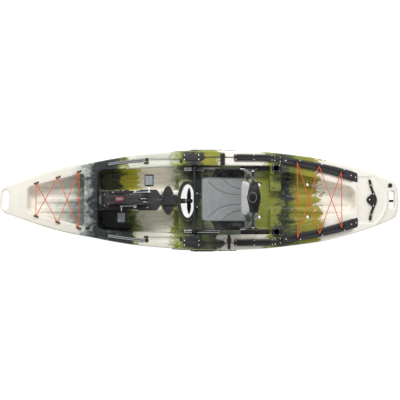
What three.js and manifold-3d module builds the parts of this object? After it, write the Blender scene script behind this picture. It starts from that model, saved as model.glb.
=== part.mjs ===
// A pedal-drive sit-on-top fishing kayak, in millimetres.
// +X points aft, +Y to starboard and +Z up. The origin is at the middle of the length and of the beam,
// level with the underside of the skeg, which is the lowest point.
// Places along the boat are given as distances aft of the bow tip and turned into X by fromBow().
import * as THREE from "three";
import { mergeVertices } from "three/addons/utils/BufferGeometryUtils.js";
import Module from "manifold-3d";

const wasm = await Module();
wasm.setup();

// Driving dimensions
const HULL_LENGTH = 4040;
const RUDDER_OVERHANG = 50; // the rudder reaches this far past the stern
const TOTAL_LENGTH = HULL_LENGTH + RUDDER_OVERHANG;
const WALL = 5; // rotomoulded polyethylene
const GAP = 0.4; // between pieces that rest on each other
const DECK = 345; // height of the gunwales amidships

const fromBow = (s) => s - TOTAL_LENGTH / 2;
const SIDES = { port: -1, starboard: 1 };

// Colours and finishes
const finish = (color, roughness, metalness = 0) =>
  new THREE.MeshStandardMaterial({ color, roughness, metalness });
const MATERIALS = {
  hull: finish(0xc9cdb0, 0.45),
  blackPlastic: finish(0x1b1b1d, 0.5),
  darkPlastic: finish(0x26262b, 0.55),
  alloy: finish(0xb9bcc0, 0.35, 0.9),
  blackAlloy: finish(0x202124, 0.4, 0.6),
  blackFabric: finish(0x2a272b, 0.9),
  greyMesh: finish(0x8d9290, 0.85),
  greyRubber: finish(0x5a6068, 0.8),
  orangeCord: finish(0xe8642c, 0.7),
  blackCord: finish(0x161617, 0.8),
};

const kayak = new THREE.Group();

// Adds one named piece to the boat.
function piece(name, geometry, material) {
  const mesh = new THREE.Mesh(geometry, material);
  mesh.name = name;
  kayak.add(mesh);
}

// ---- Solids and booleans ----

// A closed geometry as a solid that can be joined and cut.
function solid(geometry) {
  const bare = new THREE.BufferGeometry();
  const flat = geometry.index ? geometry.toNonIndexed() : geometry;
  bare.setAttribute("position", flat.getAttribute("position"));
  const merged = mergeVertices(bare, 1e-3);
  return new wasm.Manifold(
    new wasm.Mesh({
      numProp: 3,
      vertProperties: merged.attributes.position.array,
      triVerts: new Uint32Array(merged.index.array),
    }),
  );
}

// The solid's surface as a geometry.
function surface(made) {
  const mesh = made.getMesh();
  const geometry = new THREE.BufferGeometry();
  geometry.setAttribute("position", new THREE.BufferAttribute(mesh.vertProperties, 3));
  geometry.setIndex(new THREE.BufferAttribute(mesh.triVerts, 1));
  return geometry;
}

const join = (...solids) => solids.reduce((all, next) => all.add(next));
const cut = (from, ...tools) => tools.reduce((rest, tool) => rest.subtract(tool), from);

// ---- Shapes ----

// A closed surface through loops of points, each loop with the same count, with flat ends.
function loft(loops) {
  const count = loops[0].length;
  const positions = loops.flat().flatMap((p) => [p.x, p.y, p.z]);
  const index = [];
  for (let i = 0; i < loops.length - 1; i++) {
    for (let j = 0; j < count; j++) {
      const a = i * count + j;
      const b = i * count + ((j + 1) % count);
      index.push(a, b, b + count, a, b + count, a + count);
    }
  }
  const cap = (loop, start, turned) => {
    const normal = loopNormal(loop);
    const across = loop[1].clone().sub(loop[0]).normalize();
    const up = normal.clone().cross(across);
    const flat = loop.map((p) => new THREE.Vector2(p.dot(across), p.dot(up)));
    for (const [a, b, c] of THREE.ShapeUtils.triangulateShape(flat, [])) {
      index.push(...(turned ? [start + c, start + b, start + a] : [start + a, start + b, start + c]));
    }
  };
  cap(loops[0], 0, true);
  cap(loops.at(-1), (loops.length - 1) * count, false);
  const geometry = new THREE.BufferGeometry();
  geometry.setAttribute("position", new THREE.Float32BufferAttribute(positions, 3));
  geometry.setIndex(index);
  return geometry;
}

// Newell's normal of a flat loop.
function loopNormal(loop) {
  const normal = new THREE.Vector3();
  loop.forEach((p, i) => {
    const q = loop[(i + 1) % loop.length];
    normal.x += (p.y - q.y) * (p.z + q.z);
    normal.y += (p.z - q.z) * (p.x + q.x);
    normal.z += (p.x - q.x) * (p.y + q.y);
  });
  return normal.normalize();
}

// A box between two corners.
function box(low, high) {
  const size = high.map((v, i) => v - low[i]);
  return new THREE.BoxGeometry(...size).translate(...low.map((v, i) => v + size[i] / 2));
}

// A cylinder of a radius between two points.
function rod(from, to, radius, sides = 16, endRadius = radius) {
  const a = new THREE.Vector3(...from);
  const b = new THREE.Vector3(...to);
  const geometry = new THREE.CylinderGeometry(endRadius, radius, a.distanceTo(b), sides);
  const turn = new THREE.Quaternion().setFromUnitVectors(
    new THREE.Vector3(0, 1, 0),
    b.clone().sub(a).normalize(),
  );
  const middle = a.clone().add(b).multiplyScalar(0.5);
  return geometry.applyQuaternion(turn).translate(middle.x, middle.y, middle.z);
}

// A round tube along a smooth curve through points.
function tube(points, radius, sides = 10, steps = 24, tension = 0.5) {
  const vectors = points.map((p) => new THREE.Vector3(...p));
  const path = new THREE.CatmullRomCurve3(vectors, false, "catmullrom", tension);
  const section = new THREE.Shape();
  for (let i = 0; i < sides; i++) {
    const angle = (2 * Math.PI * i) / sides;
    const place = [radius * Math.cos(angle), radius * Math.sin(angle)];
    if (i) section.lineTo(...place);
    else section.moveTo(...place);
  }
  return new THREE.ExtrudeGeometry(section, { steps, extrudePath: path, curveSegments: 1 });
}

// A flat outline, given as [along, across] pairs, raised from one height to another.
// The outline lies in the XY plane, or in the XZ plane for a piece seen from the side.
function plate(outline, low, high, holes = []) {
  const shape = new THREE.Shape(outline.map((p) => new THREE.Vector2(...p)));
  shape.holes = holes.map((hole) => new THREE.Path(hole.map((p) => new THREE.Vector2(...p))));
  const geometry = new THREE.ExtrudeGeometry(shape, { depth: high - low, bevelEnabled: false });
  return geometry.translate(0, 0, low);
}
function sidePlate(outline, low, high, holes = []) {
  const geometry = plate(outline, -high, -low, holes);
  return geometry.rotateX(Math.PI / 2);
}

// An arc's points about a centre, in degrees.
function arc(cx, cy, rx, ry, fromDegrees, toDegrees, segments) {
  return Array.from({ length: segments + 1 }, (_, i) => {
    const angle = THREE.MathUtils.degToRad(fromDegrees + ((toDegrees - fromDegrees) * i) / segments);
    return [cx + rx * Math.cos(angle), cy + ry * Math.sin(angle)];
  });
}

// A rectangle with round corners.
function roundRectangle(x0, x1, y0, y1, r, segments = 3) {
  return [
    ...arc(x1 - r, y1 - r, r, r, 0, 90, segments),
    ...arc(x0 + r, y1 - r, r, r, 90, 180, segments),
    ...arc(x0 + r, y0 + r, r, r, 180, 270, segments),
    ...arc(x1 - r, y0 + r, r, r, 270, 360, segments),
  ];
}

// ---- Hull lines ----

// A smooth curve through a table of [distance from the bow, value].
function fair(table) {
  const slopes = table.map((_, i) => {
    const [s0, v0] = table[Math.max(i - 1, 0)];
    const [s1, v1] = table[Math.min(i + 1, table.length - 1)];
    return (v1 - v0) / (s1 - s0);
  });
  return (s) => {
    const last = table.length - 1;
    if (s <= table[0][0]) return table[0][1];
    if (s >= table[last][0]) return table[last][1];
    const i = table.findIndex(([next]) => s < next) - 1;
    const [s0, v0] = table[i];
    const [s1, v1] = table[i + 1];
    const h = s1 - s0;
    const t = (s - s0) / h;
    return (
      v0 * (1 + 2 * t) * (1 - t) ** 2 +
      slopes[i] * h * t * (1 - t) ** 2 +
      v1 * t * t * (3 - 2 * t) +
      slopes[i + 1] * h * t * t * (t - 1)
    );
  };
}

const BOW_ROUND = 115; // the bow's end in plan is an ellipse this long
const STERN_ROUND = 56;
const BOW_HALF = 151;
const STERN_HALF = 186;
const halfBeamAlong = fair([
  [113, 151], [350, 235], [630, 318], [940, 383], [1320, 452], [1700, 488], [2150, 508], [2450, 504],
  [2700, 490], [2950, 463], [3250, 420], [3570, 341], [3830, 253], [3986, 186],
]);
function halfBeam(s) {
  const blunt = 3; // the loft's end loops keep a little width
  if (s < BOW_ROUND - blunt) {
    return BOW_HALF * Math.sqrt(1 - ((BOW_ROUND - blunt - s) / BOW_ROUND) ** 2);
  }
  const sternArc = HULL_LENGTH - STERN_ROUND;
  if (s > sternArc) {
    return STERN_HALF * Math.sqrt(1 - (Math.min(s - sternArc, STERN_ROUND - blunt) / STERN_ROUND) ** 2);
  }
  return halfBeamAlong(s);
}
const sheer = fair([
  [0, 414], [80, 428], [200, 424], [620, 396], [1000, 364], [1400, 349], [2000, DECK], [3960, DECK],
  [HULL_LENGTH, 336],
]);
const keel = fair([
  [0, 396], [15, 380], [60, 358], [118, 343], [150, 288], [191, 214], [256, 137], [321, 91], [387, 67],
  [517, 50], [711, 34], [908, 25.5], [2040, 25.5], [2430, 32], [2690, 42], [2951, 58], [3160, 78],
  [3342, 97], [3694, 142], [3930, 186], [4000, 246], [HULL_LENGTH, 300],
]);
const chine = fair([
  [0, 404], [80, 372], [118, 350], [350, 280], [550, 240], [850, 206], [1200, 196], [2000, 182], [3000, 190],
  [3600, 225], [3930, 262], [4000, 285], [HULL_LENGTH, 306],
]);
// Share of the half beam that the lower hull reaches at the chine: it starts narrow under the bow's lip.
const tuck = fair([
  [0, 0.75], [100, 0.7], [118, 0.08], [160, 0.33], [220, 0.58], [320, 0.8], [450, 0.9], [600, 0.955],
  [1000, 0.965], [3900, 0.965], [HULL_LENGTH, 0.9],
]);
// 1 where the bottom is a sharp V and 0 where it is flat.
const vee = fair([[118, 1], [500, 0.75], [900, 0.15], [1200, 0], [3000, 0], [3600, 0.1], [HULL_LENGTH, 0]]);

// Half of the section at s, from the keel round to the middle of the deck, moved inwards by inset.
function halfSection(s, inset = 0) {
  const beam = halfBeam(s);
  const top = sheer(s);
  const edge = chine(s);
  const low = Math.min(keel(s), edge - 8);
  const inner = beam * tuck(s);
  const v = vee(s);
  const depth = edge - low;
  const side = top - edge;
  const rows = [
    [0, low, 0, 1],
    [inner * (0.58 - 0.28 * v), low + depth * 0.28 * v, 0.3, 1],
    [inner * (0.86 - 0.22 * v), low + depth * (0.22 + 0.38 * v), 0.8, 0.7],
    [inner, edge - 2, 1.3, 0],
    [beam * 0.965, edge + 2, 1.3, 0],
    [beam * 0.99, edge + side * 0.5, 1, 0],
    [beam, top - Math.min(14, side * 0.3), 1, -0.3],
    [beam - Math.min(12, beam * 0.1), top, 0.9, -1],
    [beam * 0.5, top + 4, 0, -1],
    [0, top + 5, 0, -1],
  ];
  return rows.map(([y, z, dy, dz]) => [Math.max(y - inset * dy, 0), z + inset * dz]);
}

// The whole section as a loop.
function section(s, inset) {
  const half = halfSection(s, inset);
  const starboard = half.map(([y, z]) => new THREE.Vector3(fromBow(s), y, z));
  const port = half.slice(1, -1).map(([y, z]) => new THREE.Vector3(fromBow(s), -y, z));
  return [...starboard, ...port.reverse()];
}

// ---- Hollows in the hull ----
// Each is a function of grow: 0 gives the hollow, and WALL gives the hollow with the wall round it.

const BELOW = -10; // under every part of the hull
const ABOVE = 600; // over every part of the hull

// A well with upright sides and round corners, wider at its top by its draft.
function well({ s0, s1, half0, half1, corner, floor0, floor1 = floor0, draft = 14 }, grow) {
  const outline = (inset) => {
    const g = grow - inset;
    const a = s0 - g;
    const b = s1 + g;
    const at = (s) => half0 + ((half1 - half0) * (s - s0)) / (s1 - s0) + g;
    const r = corner + g * 0.5;
    const corners = [
      [b - r, at(b) - r, 0], [a + r, at(a) - r, 90], [a + r, -at(a) + r, 180], [b - r, -at(b) + r, 270],
    ];
    return corners.flatMap(([cx, cy, from]) => arc(cx, cy, r, r, from, from + 90, 3));
  };
  const floorAt = (s) => floor0 + ((floor1 - floor0) * (s - s0)) / (s1 - s0) - grow;
  return solid(
    loft([
      outline(draft).map(([s, y]) => new THREE.Vector3(fromBow(s), y, floorAt(s))),
      outline(0).map(([s, y]) => new THREE.Vector3(fromBow(s), y, ABOVE)),
    ]),
  );
}
const hullBox = (s0, s1, y0, y1, z0, z1) => solid(box([fromBow(s0), y0, z0], [fromBow(s1), y1, z1]));

const BOW_WELL = { s0: 285, s1: 850, half0: 122, half1: 272, corner: 40, floor0: 302, floor1: 226 };
const bowWell = (grow) => well(BOW_WELL, grow);

const SPINE_HALF = 105; // the hump that carries the drive
const SPINE_TOP = 322;
const SPINE_END = 1630;
const LOW_SPINE_TOP = 236;
const SEAT_FLOOR = 200;
const STEP = 1812; // the foot well ends and the seat platform starts
const FOOT_WELL = { s0: 985, s1: STEP, half0: 300, half1: 346, corner: 60, floor0: 115 };
const spine = (s0, s1, top, grow) => hullBox(s0, s1, -SPINE_HALF + grow, SPINE_HALF - grow, 0, top - grow);
const footWell = (grow) =>
  cut(
    well(FOOT_WELL, grow),
    spine(FOOT_WELL.s0 - 85, SPINE_END - grow, SPINE_TOP, grow),
    spine(FOOT_WELL.s0 - 85, STEP + 88, LOW_SPINE_TOP, grow),
  );

const LEDGE = 270; // the shoulder inside the gunwales that carries the seat rails
const SEAT_END = 2738;
const SEAT_WELL = {
  s0: STEP - 30, s1: SEAT_END, half0: 292, half1: 292, corner: 30, floor0: SEAT_FLOOR, draft: 4,
};
const SEAT_SHOULDERS = { ...SEAT_WELL, half0: 348, half1: 348, corner: 16, floor0: LEDGE };
const PROP_WELL = { s: 1893, halfLength: 72, halfWidth: 176 };
const BOSS = { rim: 36, top: 236 }; // the raised rim round the propeller's well
function propOutline(growth, segments) {
  const { s, halfLength, halfWidth } = PROP_WELL;
  const lastAngle = 360 - 360 / (segments + 1);
  return arc(fromBow(s), 0, halfLength + growth, halfWidth + growth, 0, lastAngle, segments);
}
const oval = (growth, low, high) => solid(plate(propOutline(growth, 22), low, high));
const seatWell = (grow) =>
  cut(
    join(well(SEAT_WELL, grow), well(SEAT_SHOULDERS, grow)),
    oval(BOSS.rim - grow, 0, BOSS.top - grow),
    spine(STEP - 112, PROP_WELL.s, LOW_SPINE_TOP, grow),
  );

// Between the seat and the rear tank well a gangway runs through two raised blocks.
const STERN_WELL = { s0: 2850, s1: 3600, half0: 300, half1: 122, corner: 75, floor0: 196 };
const GANGWAY = { overlap: 60, wide: 262, narrow: 85 };
function gangway(grow) {
  const { overlap, wide, narrow } = GANGWAY;
  const passage = (half, floor) =>
    hullBox(SEAT_END - overlap, STERN_WELL.s0 + overlap, -half - grow, half + grow, floor - grow, ABOVE);
  return join(passage(wide, LEDGE), passage(narrow, SEAT_FLOOR));
}
const sternWell = (grow) => well(STERN_WELL, grow);

// The lower unit folds up into a slot under the spine, and its propeller into an oval well.
const SLOT = { s0: 1080, s1: 1830, half: 52, top: 132 };
const slot = (grow) =>
  hullBox(SLOT.s0 - grow, SLOT.s1 + grow, -SLOT.half - grow, SLOT.half + grow, BELOW, SLOT.top + grow);
const PIVOT = { s: 1151, z: 84 };
const LEG_HOLE = { halfLength: 46, halfWidth: 40, z0: 50 };
function legHole(grow) {
  const length = LEG_HOLE.halfLength + grow;
  const width = LEG_HOLE.halfWidth + grow;
  return hullBox(PIVOT.s - length, PIVOT.s + length, -width, width, LEG_HOLE.z0, ABOVE);
}
const propWell = (grow) => oval(grow, BELOW, ABOVE);

const HANDLE_SLOTS = [
  { s0: 36, s1: 100, half: 96, corner: 30 },
  { s0: 3940, s1: 4003, half: 94, corner: 30 },
];
const handleSlots = (grow) =>
  HANDLE_SLOTS.map(({ s0, s1, half, corner }) => {
    const [x0, x1] = [fromBow(s0) - grow, fromBow(s1) + grow];
    return solid(plate(roundRectangle(x0, x1, -half - grow, half + grow, corner, 4), 100, ABOVE));
  });
const upright = (s, y, z0, z1, radius, sides) => rod([fromBow(s), y, z0], [fromBow(s), y, z1], radius, sides);
const SCUPPERS = { places: [[2640, 168], [2640, -168], [3140, 168], [3140, -168]], radius: 18 };
const scuppers = (grow) =>
  SCUPPERS.places.map(([s, y]) => solid(upright(s, y, BELOW, ABOVE, SCUPPERS.radius + grow, 12)));

const ROD_HOLDER = { s: 2798, y: 322, radius: 24, flange: 52, depth: 150, rake: 0.175 };
function rodHolderAxis(sign) {
  const { s, y, depth, rake } = ROD_HOLDER;
  return [
    [fromBow(s + depth * rake), sign * y, DECK - depth],
    [fromBow(s), sign * y, DECK + 4],
  ];
}
const rodHoles = (grow) =>
  Object.values(SIDES).map((sign) => {
    const [low, high] = rodHolderAxis(sign);
    return solid(rod(low, high.map((v, i) => v + (v - low[i]) * 0.3), ROD_HOLDER.radius + 5 + grow, 16));
  });

const POST = { s: 3735, radius: 11 };
const postHole = (grow) => solid(upright(POST.s, 0, BELOW, ABOVE, POST.radius + 1 + grow, 16));
const DRAIN = { s: 3950, y: 148, radius: 14 };
const drainHole = solid(upright(DRAIN.s, DRAIN.y, 290, ABOVE, DRAIN.radius, 16));

// ---- Hull ----

const SHOE = { s0: 3500, s1: 3685, half: 30, height: 12 };
const SKEG = { s0: 3180, s1: 3686, half: 30, bottom: SHOE.height + GAP };
function skeg(inset) {
  const front = SKEG.s0 + inset * 8;
  const back = SKEG.s1 - inset;
  const bottom = SKEG.bottom + inset;
  const root = 170;
  const outline = [
    [front, 110], [3330, 24 + inset], [3440 + inset, bottom], [back, bottom], [back, root], [front, root],
  ];
  return solid(sidePlate(outline.map(([s, z]) => [fromBow(s), z]), inset - SKEG.half, SKEG.half - inset));
}

// Each carry handle's pins turn in two bosses on the side of the hull.
const CARRY = { s0: 1945, s1: 2165, y: 516, z: 262, pin: 5, grip: 8, hang: 34 };
function handleBosses() {
  return Object.values(SIDES).flatMap((sign) =>
    [[CARRY.s0 - 20, CARRY.s0], [CARRY.s1, CARRY.s1 + 20]].map(([s0, s1]) => {
      const [y0, y1] = [sign * 480, sign * (CARRY.y + 8)].sort((a, b) => a - b);
      return hullBox(s0, s1, y0, y1, CARRY.z - 12, CARRY.z + 12);
    }),
  );
}
const handlePinHoles = () =>
  Object.values(SIDES).map((sign) => {
    const along = (s) => [fromBow(s), sign * CARRY.y, CARRY.z];
    return solid(rod(along(CARRY.s0 - 12), along(CARRY.s1 + 12), CARRY.pin + GAP, 10));
  });

const HULL_STATIONS = [
  0, 12, 40, 85, 117, 135, 160, 200, 255, 330, 420, 540, 700, 870, 1050, 1300, 1600, 1900, 2150, 2450, 2700,
  2950, 3200, 3400, 3570, 3720, 3850, 3945, 3986, 4012, 4030, HULL_LENGTH,
];
const CAVITY_STATIONS = [
  150, 200, 255, 330, 420, 540, 700, 900, 1200, 1600, 2000, 2450, 2900, 3250, 3570, 3800, 3950,
];

function hullShell() {
  const outer = join(solid(loft(HULL_STATIONS.map((s) => section(s, 0)))), skeg(0), ...handleBosses());
  const inner = join(solid(loft(CAVITY_STATIONS.map((s) => section(s, WALL)))), skeg(WALL));
  const hollows = [bowWell, footWell, seatWell, gangway, sternWell, slot, legHole, propWell, postHole];
  const sets = [handleSlots, scuppers, rodHoles];
  const all = (grow) => [...hollows.map((hollow) => hollow(grow)), ...sets.flatMap((set) => set(grow))];
  const cavities = cut(inner, ...all(WALL)).decompose();
  const cavity = cavities.sort((a, b) => b.volume() - a.volume())[0];
  return cut(outer, ...all(0), cavity, drainHole, ...handlePinHoles()).simplify(0.8);
}
piece("hull_shell", surface(hullShell()), MATERIALS.hull);

// ---- Heights on the finished hull ----

// A height that runs straight between the hull's stations, as the hull's own surface does.
function betweenStations(s, heightAt) {
  const i = Math.max(HULL_STATIONS.findIndex((next) => s < next) - 1, 0);
  const [s0, s1] = [HULL_STATIONS[i], HULL_STATIONS[i + 1]];
  return heightAt(s0) + ((heightAt(s1) - heightAt(s0)) * (s - s0)) / (s1 - s0);
}
const deckHeight = (s, y) =>
  betweenStations(s, (station) => {
    const [edge, crown, middle] = halfSection(station).slice(-3);
    const across = Math.abs(y);
    const [outer, inner] = across > crown[0] ? [edge, crown] : [crown, middle];
    return outer[1] + ((inner[1] - outer[1]) * (outer[0] - across)) / (outer[0] - inner[0]);
  });
const bottomHeight = (s) => betweenStations(s, (station) => halfSection(station)[0][1]);
const CLEAR = 0.8; // over the hull's curved surfaces, which are only nearly flat

// A strip that lies on the deck along [s, inner y, outer y] places.
function deckStrip(places, thickness, lift = CLEAR) {
  return loft(
    places.map(([s, inner, outer]) => {
      const base = Math.max(deckHeight(s, inner), deckHeight(s, outer)) + lift;
      const at = (y, z) => new THREE.Vector3(fromBow(s), y, z);
      const [y0, y1] = [Math.min(inner, outer), Math.max(inner, outer)];
      return [at(y0, base), at(y1, base), at(y1, base + thickness), at(y0, base + thickness)];
    }),
  );
}
const eachSide = (make) => Object.entries(SIDES).forEach(([side, sign]) => make(side, sign));
const mirrored = (places, sign) => places.map(([s, inner, outer]) => [s, sign * inner, sign * outer]);

// ---- Hull fittings ----

const skegShoe = box([fromBow(SHOE.s0), -SHOE.half, 0], [fromBow(SHOE.s1), SHOE.half, SHOE.height]);
piece("skeg_shoe", skegShoe, MATERIALS.blackPlastic);

function drainPlug() {
  const top = deckHeight(DRAIN.s, 0) + CLEAR;
  const at = (z) => [fromBow(DRAIN.s), DRAIN.y, z];
  const head = solid(rod(at(top), at(top + 9), 22, 20, 18));
  return join(head, solid(rod(at(320), at(top + 3), DRAIN.radius - 1, 16)));
}
piece("drain_plug", surface(drainPlug()), MATERIALS.blackPlastic);

// A cover plate under the hull where a depth sounder's transducer is fitted.
function transducerCover() {
  const thickness = 5;
  return loft(
    [2235, 2450, 2490].map((s) => {
      const top = bottomHeight(s) - CLEAR;
      const at = (y, z) => new THREE.Vector3(fromBow(s), y, z);
      return [at(-75, top - thickness), at(75, top - thickness), at(75, top), at(-75, top)];
    }),
  );
}
piece("transducer_cover", transducerCover(), MATERIALS.blackPlastic);

function rodHolder(sign) {
  const [low, high] = rodHolderAxis(sign);
  const beyond = (share) => high.map((v, i) => v + (v - low[i]) * share);
  const base = deckHeight(ROD_HOLDER.s, ROD_HOLDER.y - ROD_HOLDER.flange) + CLEAR;
  const centre = (z) => [fromBow(ROD_HOLDER.s), sign * ROD_HOLDER.y, z];
  const flange = solid(rod(centre(base), centre(base + 6), ROD_HOLDER.flange, 28));
  const inside = low.map((v, i) => v + (high[i] - v) * 0.03);
  const cup = solid(rod(inside, beyond(0), ROD_HOLDER.radius + 4, 20));
  const bore = solid(rod(low.map((v, i) => v + (high[i] - v) * 0.07), beyond(0.3), ROD_HOLDER.radius, 20));
  return cut(join(flange, cup), bore);
}
eachSide((side, sign) => piece(`rod_holder_${side}`, surface(rodHolder(sign)), MATERIALS.blackPlastic));

// Rails, tracks and plates on the gunwales: [distance from the bow, inner edge, outer edge].
const GEAR_TRACK = [[1094, 350, 376], [1300, 378, 404], [1457, 395, 421]];
const ACCESSORY_PLATE = [[1850, 404, 462], [1900, 404, 462], [2042, 404, 462]];
const SIDE_TRAY = [[2369, 402, 464], [2450, 402, 464], [2700, 398, 460], [2768, 394, 456]];
const STERN_RAIL = [
  [2850, 368, 436], [2950, 352, 421], [3200, 302, 378], [3400, 246, 334], [3570, 190, 288],
];
const STERN_RAIL_TIP = [[3569, 190, 288], [3618, 176, 272]];
const RAIL_HEIGHT = 34;
const TRACK_HEIGHT = 11;
const PLATE_HEIGHT = 7;
const TRAY_HEIGHT = 28;
const TIP_HEIGHT = 8;
eachSide((side, sign) => {
  const strip = (places, height) => deckStrip(mirrored(places, sign), height);
  piece(`front_gear_track_${side}`, strip(GEAR_TRACK, TRACK_HEIGHT), MATERIALS.alloy);
  piece(`accessory_plate_${side}`, strip(ACCESSORY_PLATE, PLATE_HEIGHT), MATERIALS.blackPlastic);
  piece(`side_tray_${side}`, strip(SIDE_TRAY, TRAY_HEIGHT), MATERIALS.blackPlastic);
  const rail = solid(strip(STERN_RAIL, RAIL_HEIGHT));
  const tip = solid(strip(STERN_RAIL_TIP, TIP_HEIGHT));
  piece(`stern_rail_${side}`, surface(join(rail, tip)), MATERIALS.blackPlastic);
});

// Slides on the shoulders inside the gunwales, which the seat frame's feet ride on.
const SEAT_RAIL = { s0: 1860, s1: 2225, y0: 303, y1: 335, z1: LEDGE + 14 };
const REAR_SEAT_RAIL = { s0: 2443, s1: 2722, y0: 299, y1: 340, z1: LEDGE + 20 };
function ledgeRail({ s0, s1, y0, y1, z1 }, sign) {
  const [low, high] = [sign * y0, sign * y1].sort((a, b) => a - b);
  return box([fromBow(s0), low, LEDGE + GAP], [fromBow(s1), high, z1]);
}
eachSide((side, sign) => {
  piece(`seat_rail_${side}`, ledgeRail(SEAT_RAIL, sign), MATERIALS.alloy);
  piece(`rear_seat_rail_${side}`, ledgeRail(REAR_SEAT_RAIL, sign), MATERIALS.blackPlastic);
});

// A bungee laced in a closed zigzag over three pairs of deck eyes.
const CORD_RADIUS = 4;
function lacing(pairs) {
  const eye = (i, sign) => [fromBow(pairs[i].s), sign * pairs[i].y, pairs[i].z];
  const route = [eye(0, 1), eye(0, -1), eye(1, 1), eye(2, -1), eye(2, 1), eye(1, -1)];
  const strands = route.map((from, i) => solid(rod(from, route[(i + 1) % route.length], CORD_RADIUS, 8)));
  const bends = route.map((place) =>
    solid(new THREE.SphereGeometry(CORD_RADIUS + 2, 8, 4).translate(...place)),
  );
  return join(...strands, ...bends);
}
const overDeck = (height) => ([s, y]) => ({ s, y, z: deckHeight(s, y) + height });
const BOW_EYES = [[376, 168], [592, 229], [800, 286]].map(overDeck(12));
const STERN_EYES = [[3004, 384], [3225, 342], [3449, 284]].map(overDeck(RAIL_HEIGHT + CORD_RADIUS + 4));
piece("bow_bungee", surface(lacing(BOW_EYES)), MATERIALS.orangeCord);
piece("stern_bungee", surface(lacing(STERN_EYES)), MATERIALS.orangeCord);

// A bungee along each side keeps a paddle, its ends running down to the handle bosses.
function sideBungee(sign) {
  const places = [
    [1742, 240], [1756, 272], [1800, 286], [1950, 286], [2150, 286], [2340, 286], [2378, 272], [2390, 240],
  ];
  const beside = (s) => sign * (halfBeam(s) + 6);
  return tube(places.map(([s, z]) => [fromBow(s), beside(s), z]), CORD_RADIUS, 8, 18);
}
function carryHandle(sign) {
  const { s0, s1, y, z, pin, grip, hang } = CARRY;
  const route = [
    [s0 + 13, z], [s0 + 16, z - 16], [s0 + 40, z - hang],
    [s1 - 40, z - hang], [s1 - 16, z - 16], [s1 - 13, z],
  ];
  const bar = solid(tube(route.map(([s, height]) => [fromBow(s), sign * y, height]), grip, 8, 14));
  const pins = [[s0 - 10, s0 + 14], [s1 - 14, s1 + 10]].map(([a, b]) =>
    solid(rod([fromBow(a), sign * y, z], [fromBow(b), sign * y, z], pin, 10)),
  );
  return join(bar, ...pins);
}
eachSide((side, sign) => {
  piece(`side_bungee_${side}`, sideBungee(sign), MATERIALS.blackCord);
  piece(`carry_handle_${side}`, surface(carryHandle(sign)), MATERIALS.greyRubber);
});

piece("paddle_clip", deckStrip([[2229, 352, 476], [2273, 352, 476]], 12), MATERIALS.blackPlastic);
piece("gunwale_strap", deckStrip([[2303, -498, -354], [2329, -498, -354]], 4), MATERIALS.blackFabric);

// ---- Rudder ----

const YOKE = { z0: 356, z1: 363, reach: 202 };
function rudderBlade() {
  const outline = [
    [3698, 18], [3722, 5], [4060, 4], [4086, 14], [TOTAL_LENGTH, 40], [TOTAL_LENGTH, 120], [4045, 148],
    [3935, 146], [3800, 132], [3698, 122],
  ];
  const blade = solid(sidePlate(outline.map(([s, z]) => [fromBow(s), z]), -9, 9));
  const post = solid(upright(POST.s, 0, 60, YOKE.z0 - GAP, POST.radius, 16));
  const keyed = solid(upright(POST.s, 0, 300, YOKE.z1 + 14, POST.radius - 4, 12));
  return join(blade, post, keyed);
}
function rudderYoke() {
  const wave = (sign) => [
    [76, 8], [71, 30], [55, 68], [37, 112], [23, 165], [16, YOKE.reach], [-8, YOKE.reach],
    [1, 160], [11, 118], [23, 84], [27, 62], [3, 42], [-19, 22], [-27, 6],
  ].map(([ds, y]) => [fromBow(POST.s + ds), sign * y]);
  const arms = solid(plate([...wave(1), ...wave(-1).reverse()], YOKE.z0, YOKE.z1));
  const bore = upright(POST.s, 0, YOKE.z0 - 10, YOKE.z1 + 10, POST.radius - 4 + GAP, 12);
  return cut(arms, solid(bore));
}
piece("rudder_blade", surface(rudderBlade()), MATERIALS.blackPlastic);
piece("rudder_yoke", surface(rudderYoke()), MATERIALS.blackPlastic);

const STEERING = { s: 2240, y: -440, lever: 30 };
function steeringKnob() {
  const { s, y, lever } = STEERING;
  const base = deckHeight(s, y + lever) + CLEAR;
  const at = (z) => [fromBow(s), y, z];
  return join(
    solid(rod(at(base), at(base + 10), 30, 24)),
    solid(rod(at(base + 5), at(base + 55), 11, 16)),
    solid(rod(at(base + 40), at(base + 84), 19, 24, 24)),
    hullBox(s - 5, s + 5, y - lever, y + lever, base + 80, base + 90),
  );
}
piece("steering_knob", surface(steeringKnob()), MATERIALS.darkPlastic);

// ---- Pedal drive ----

const CRANK = { s: 1380, z: 546, arm: 185, angle: 38, inner: 58, outer: 72, spindle: 11 };
const JACK = { s: PIVOT.s, z: 508, radius: 8 };
const CONSOLE_TOP = 342;
const RIDGE_TOP = 374;
const CASE = { half: 36, wall: 5, big: 130, small: 62 };
const CASE_WINDOW = { s0: 1292, s1: 1376, z0: 424, z1: 460, corner: 12 };
const CHAINRING = 70;
const PULLEY = 24;
const SHAFT_BORE = 13;
const crankAt = (y) => [fromBow(CRANK.s), y, CRANK.z];
const jackAt = (y) => [fromBow(JACK.s), y, JACK.z];
const belowJack = (z) => [fromBow(JACK.s), 0, z];
const shaftBore = solid(rod(belowJack(0), belowJack(JACK.z - 20), SHAFT_BORE, 16));

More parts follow.
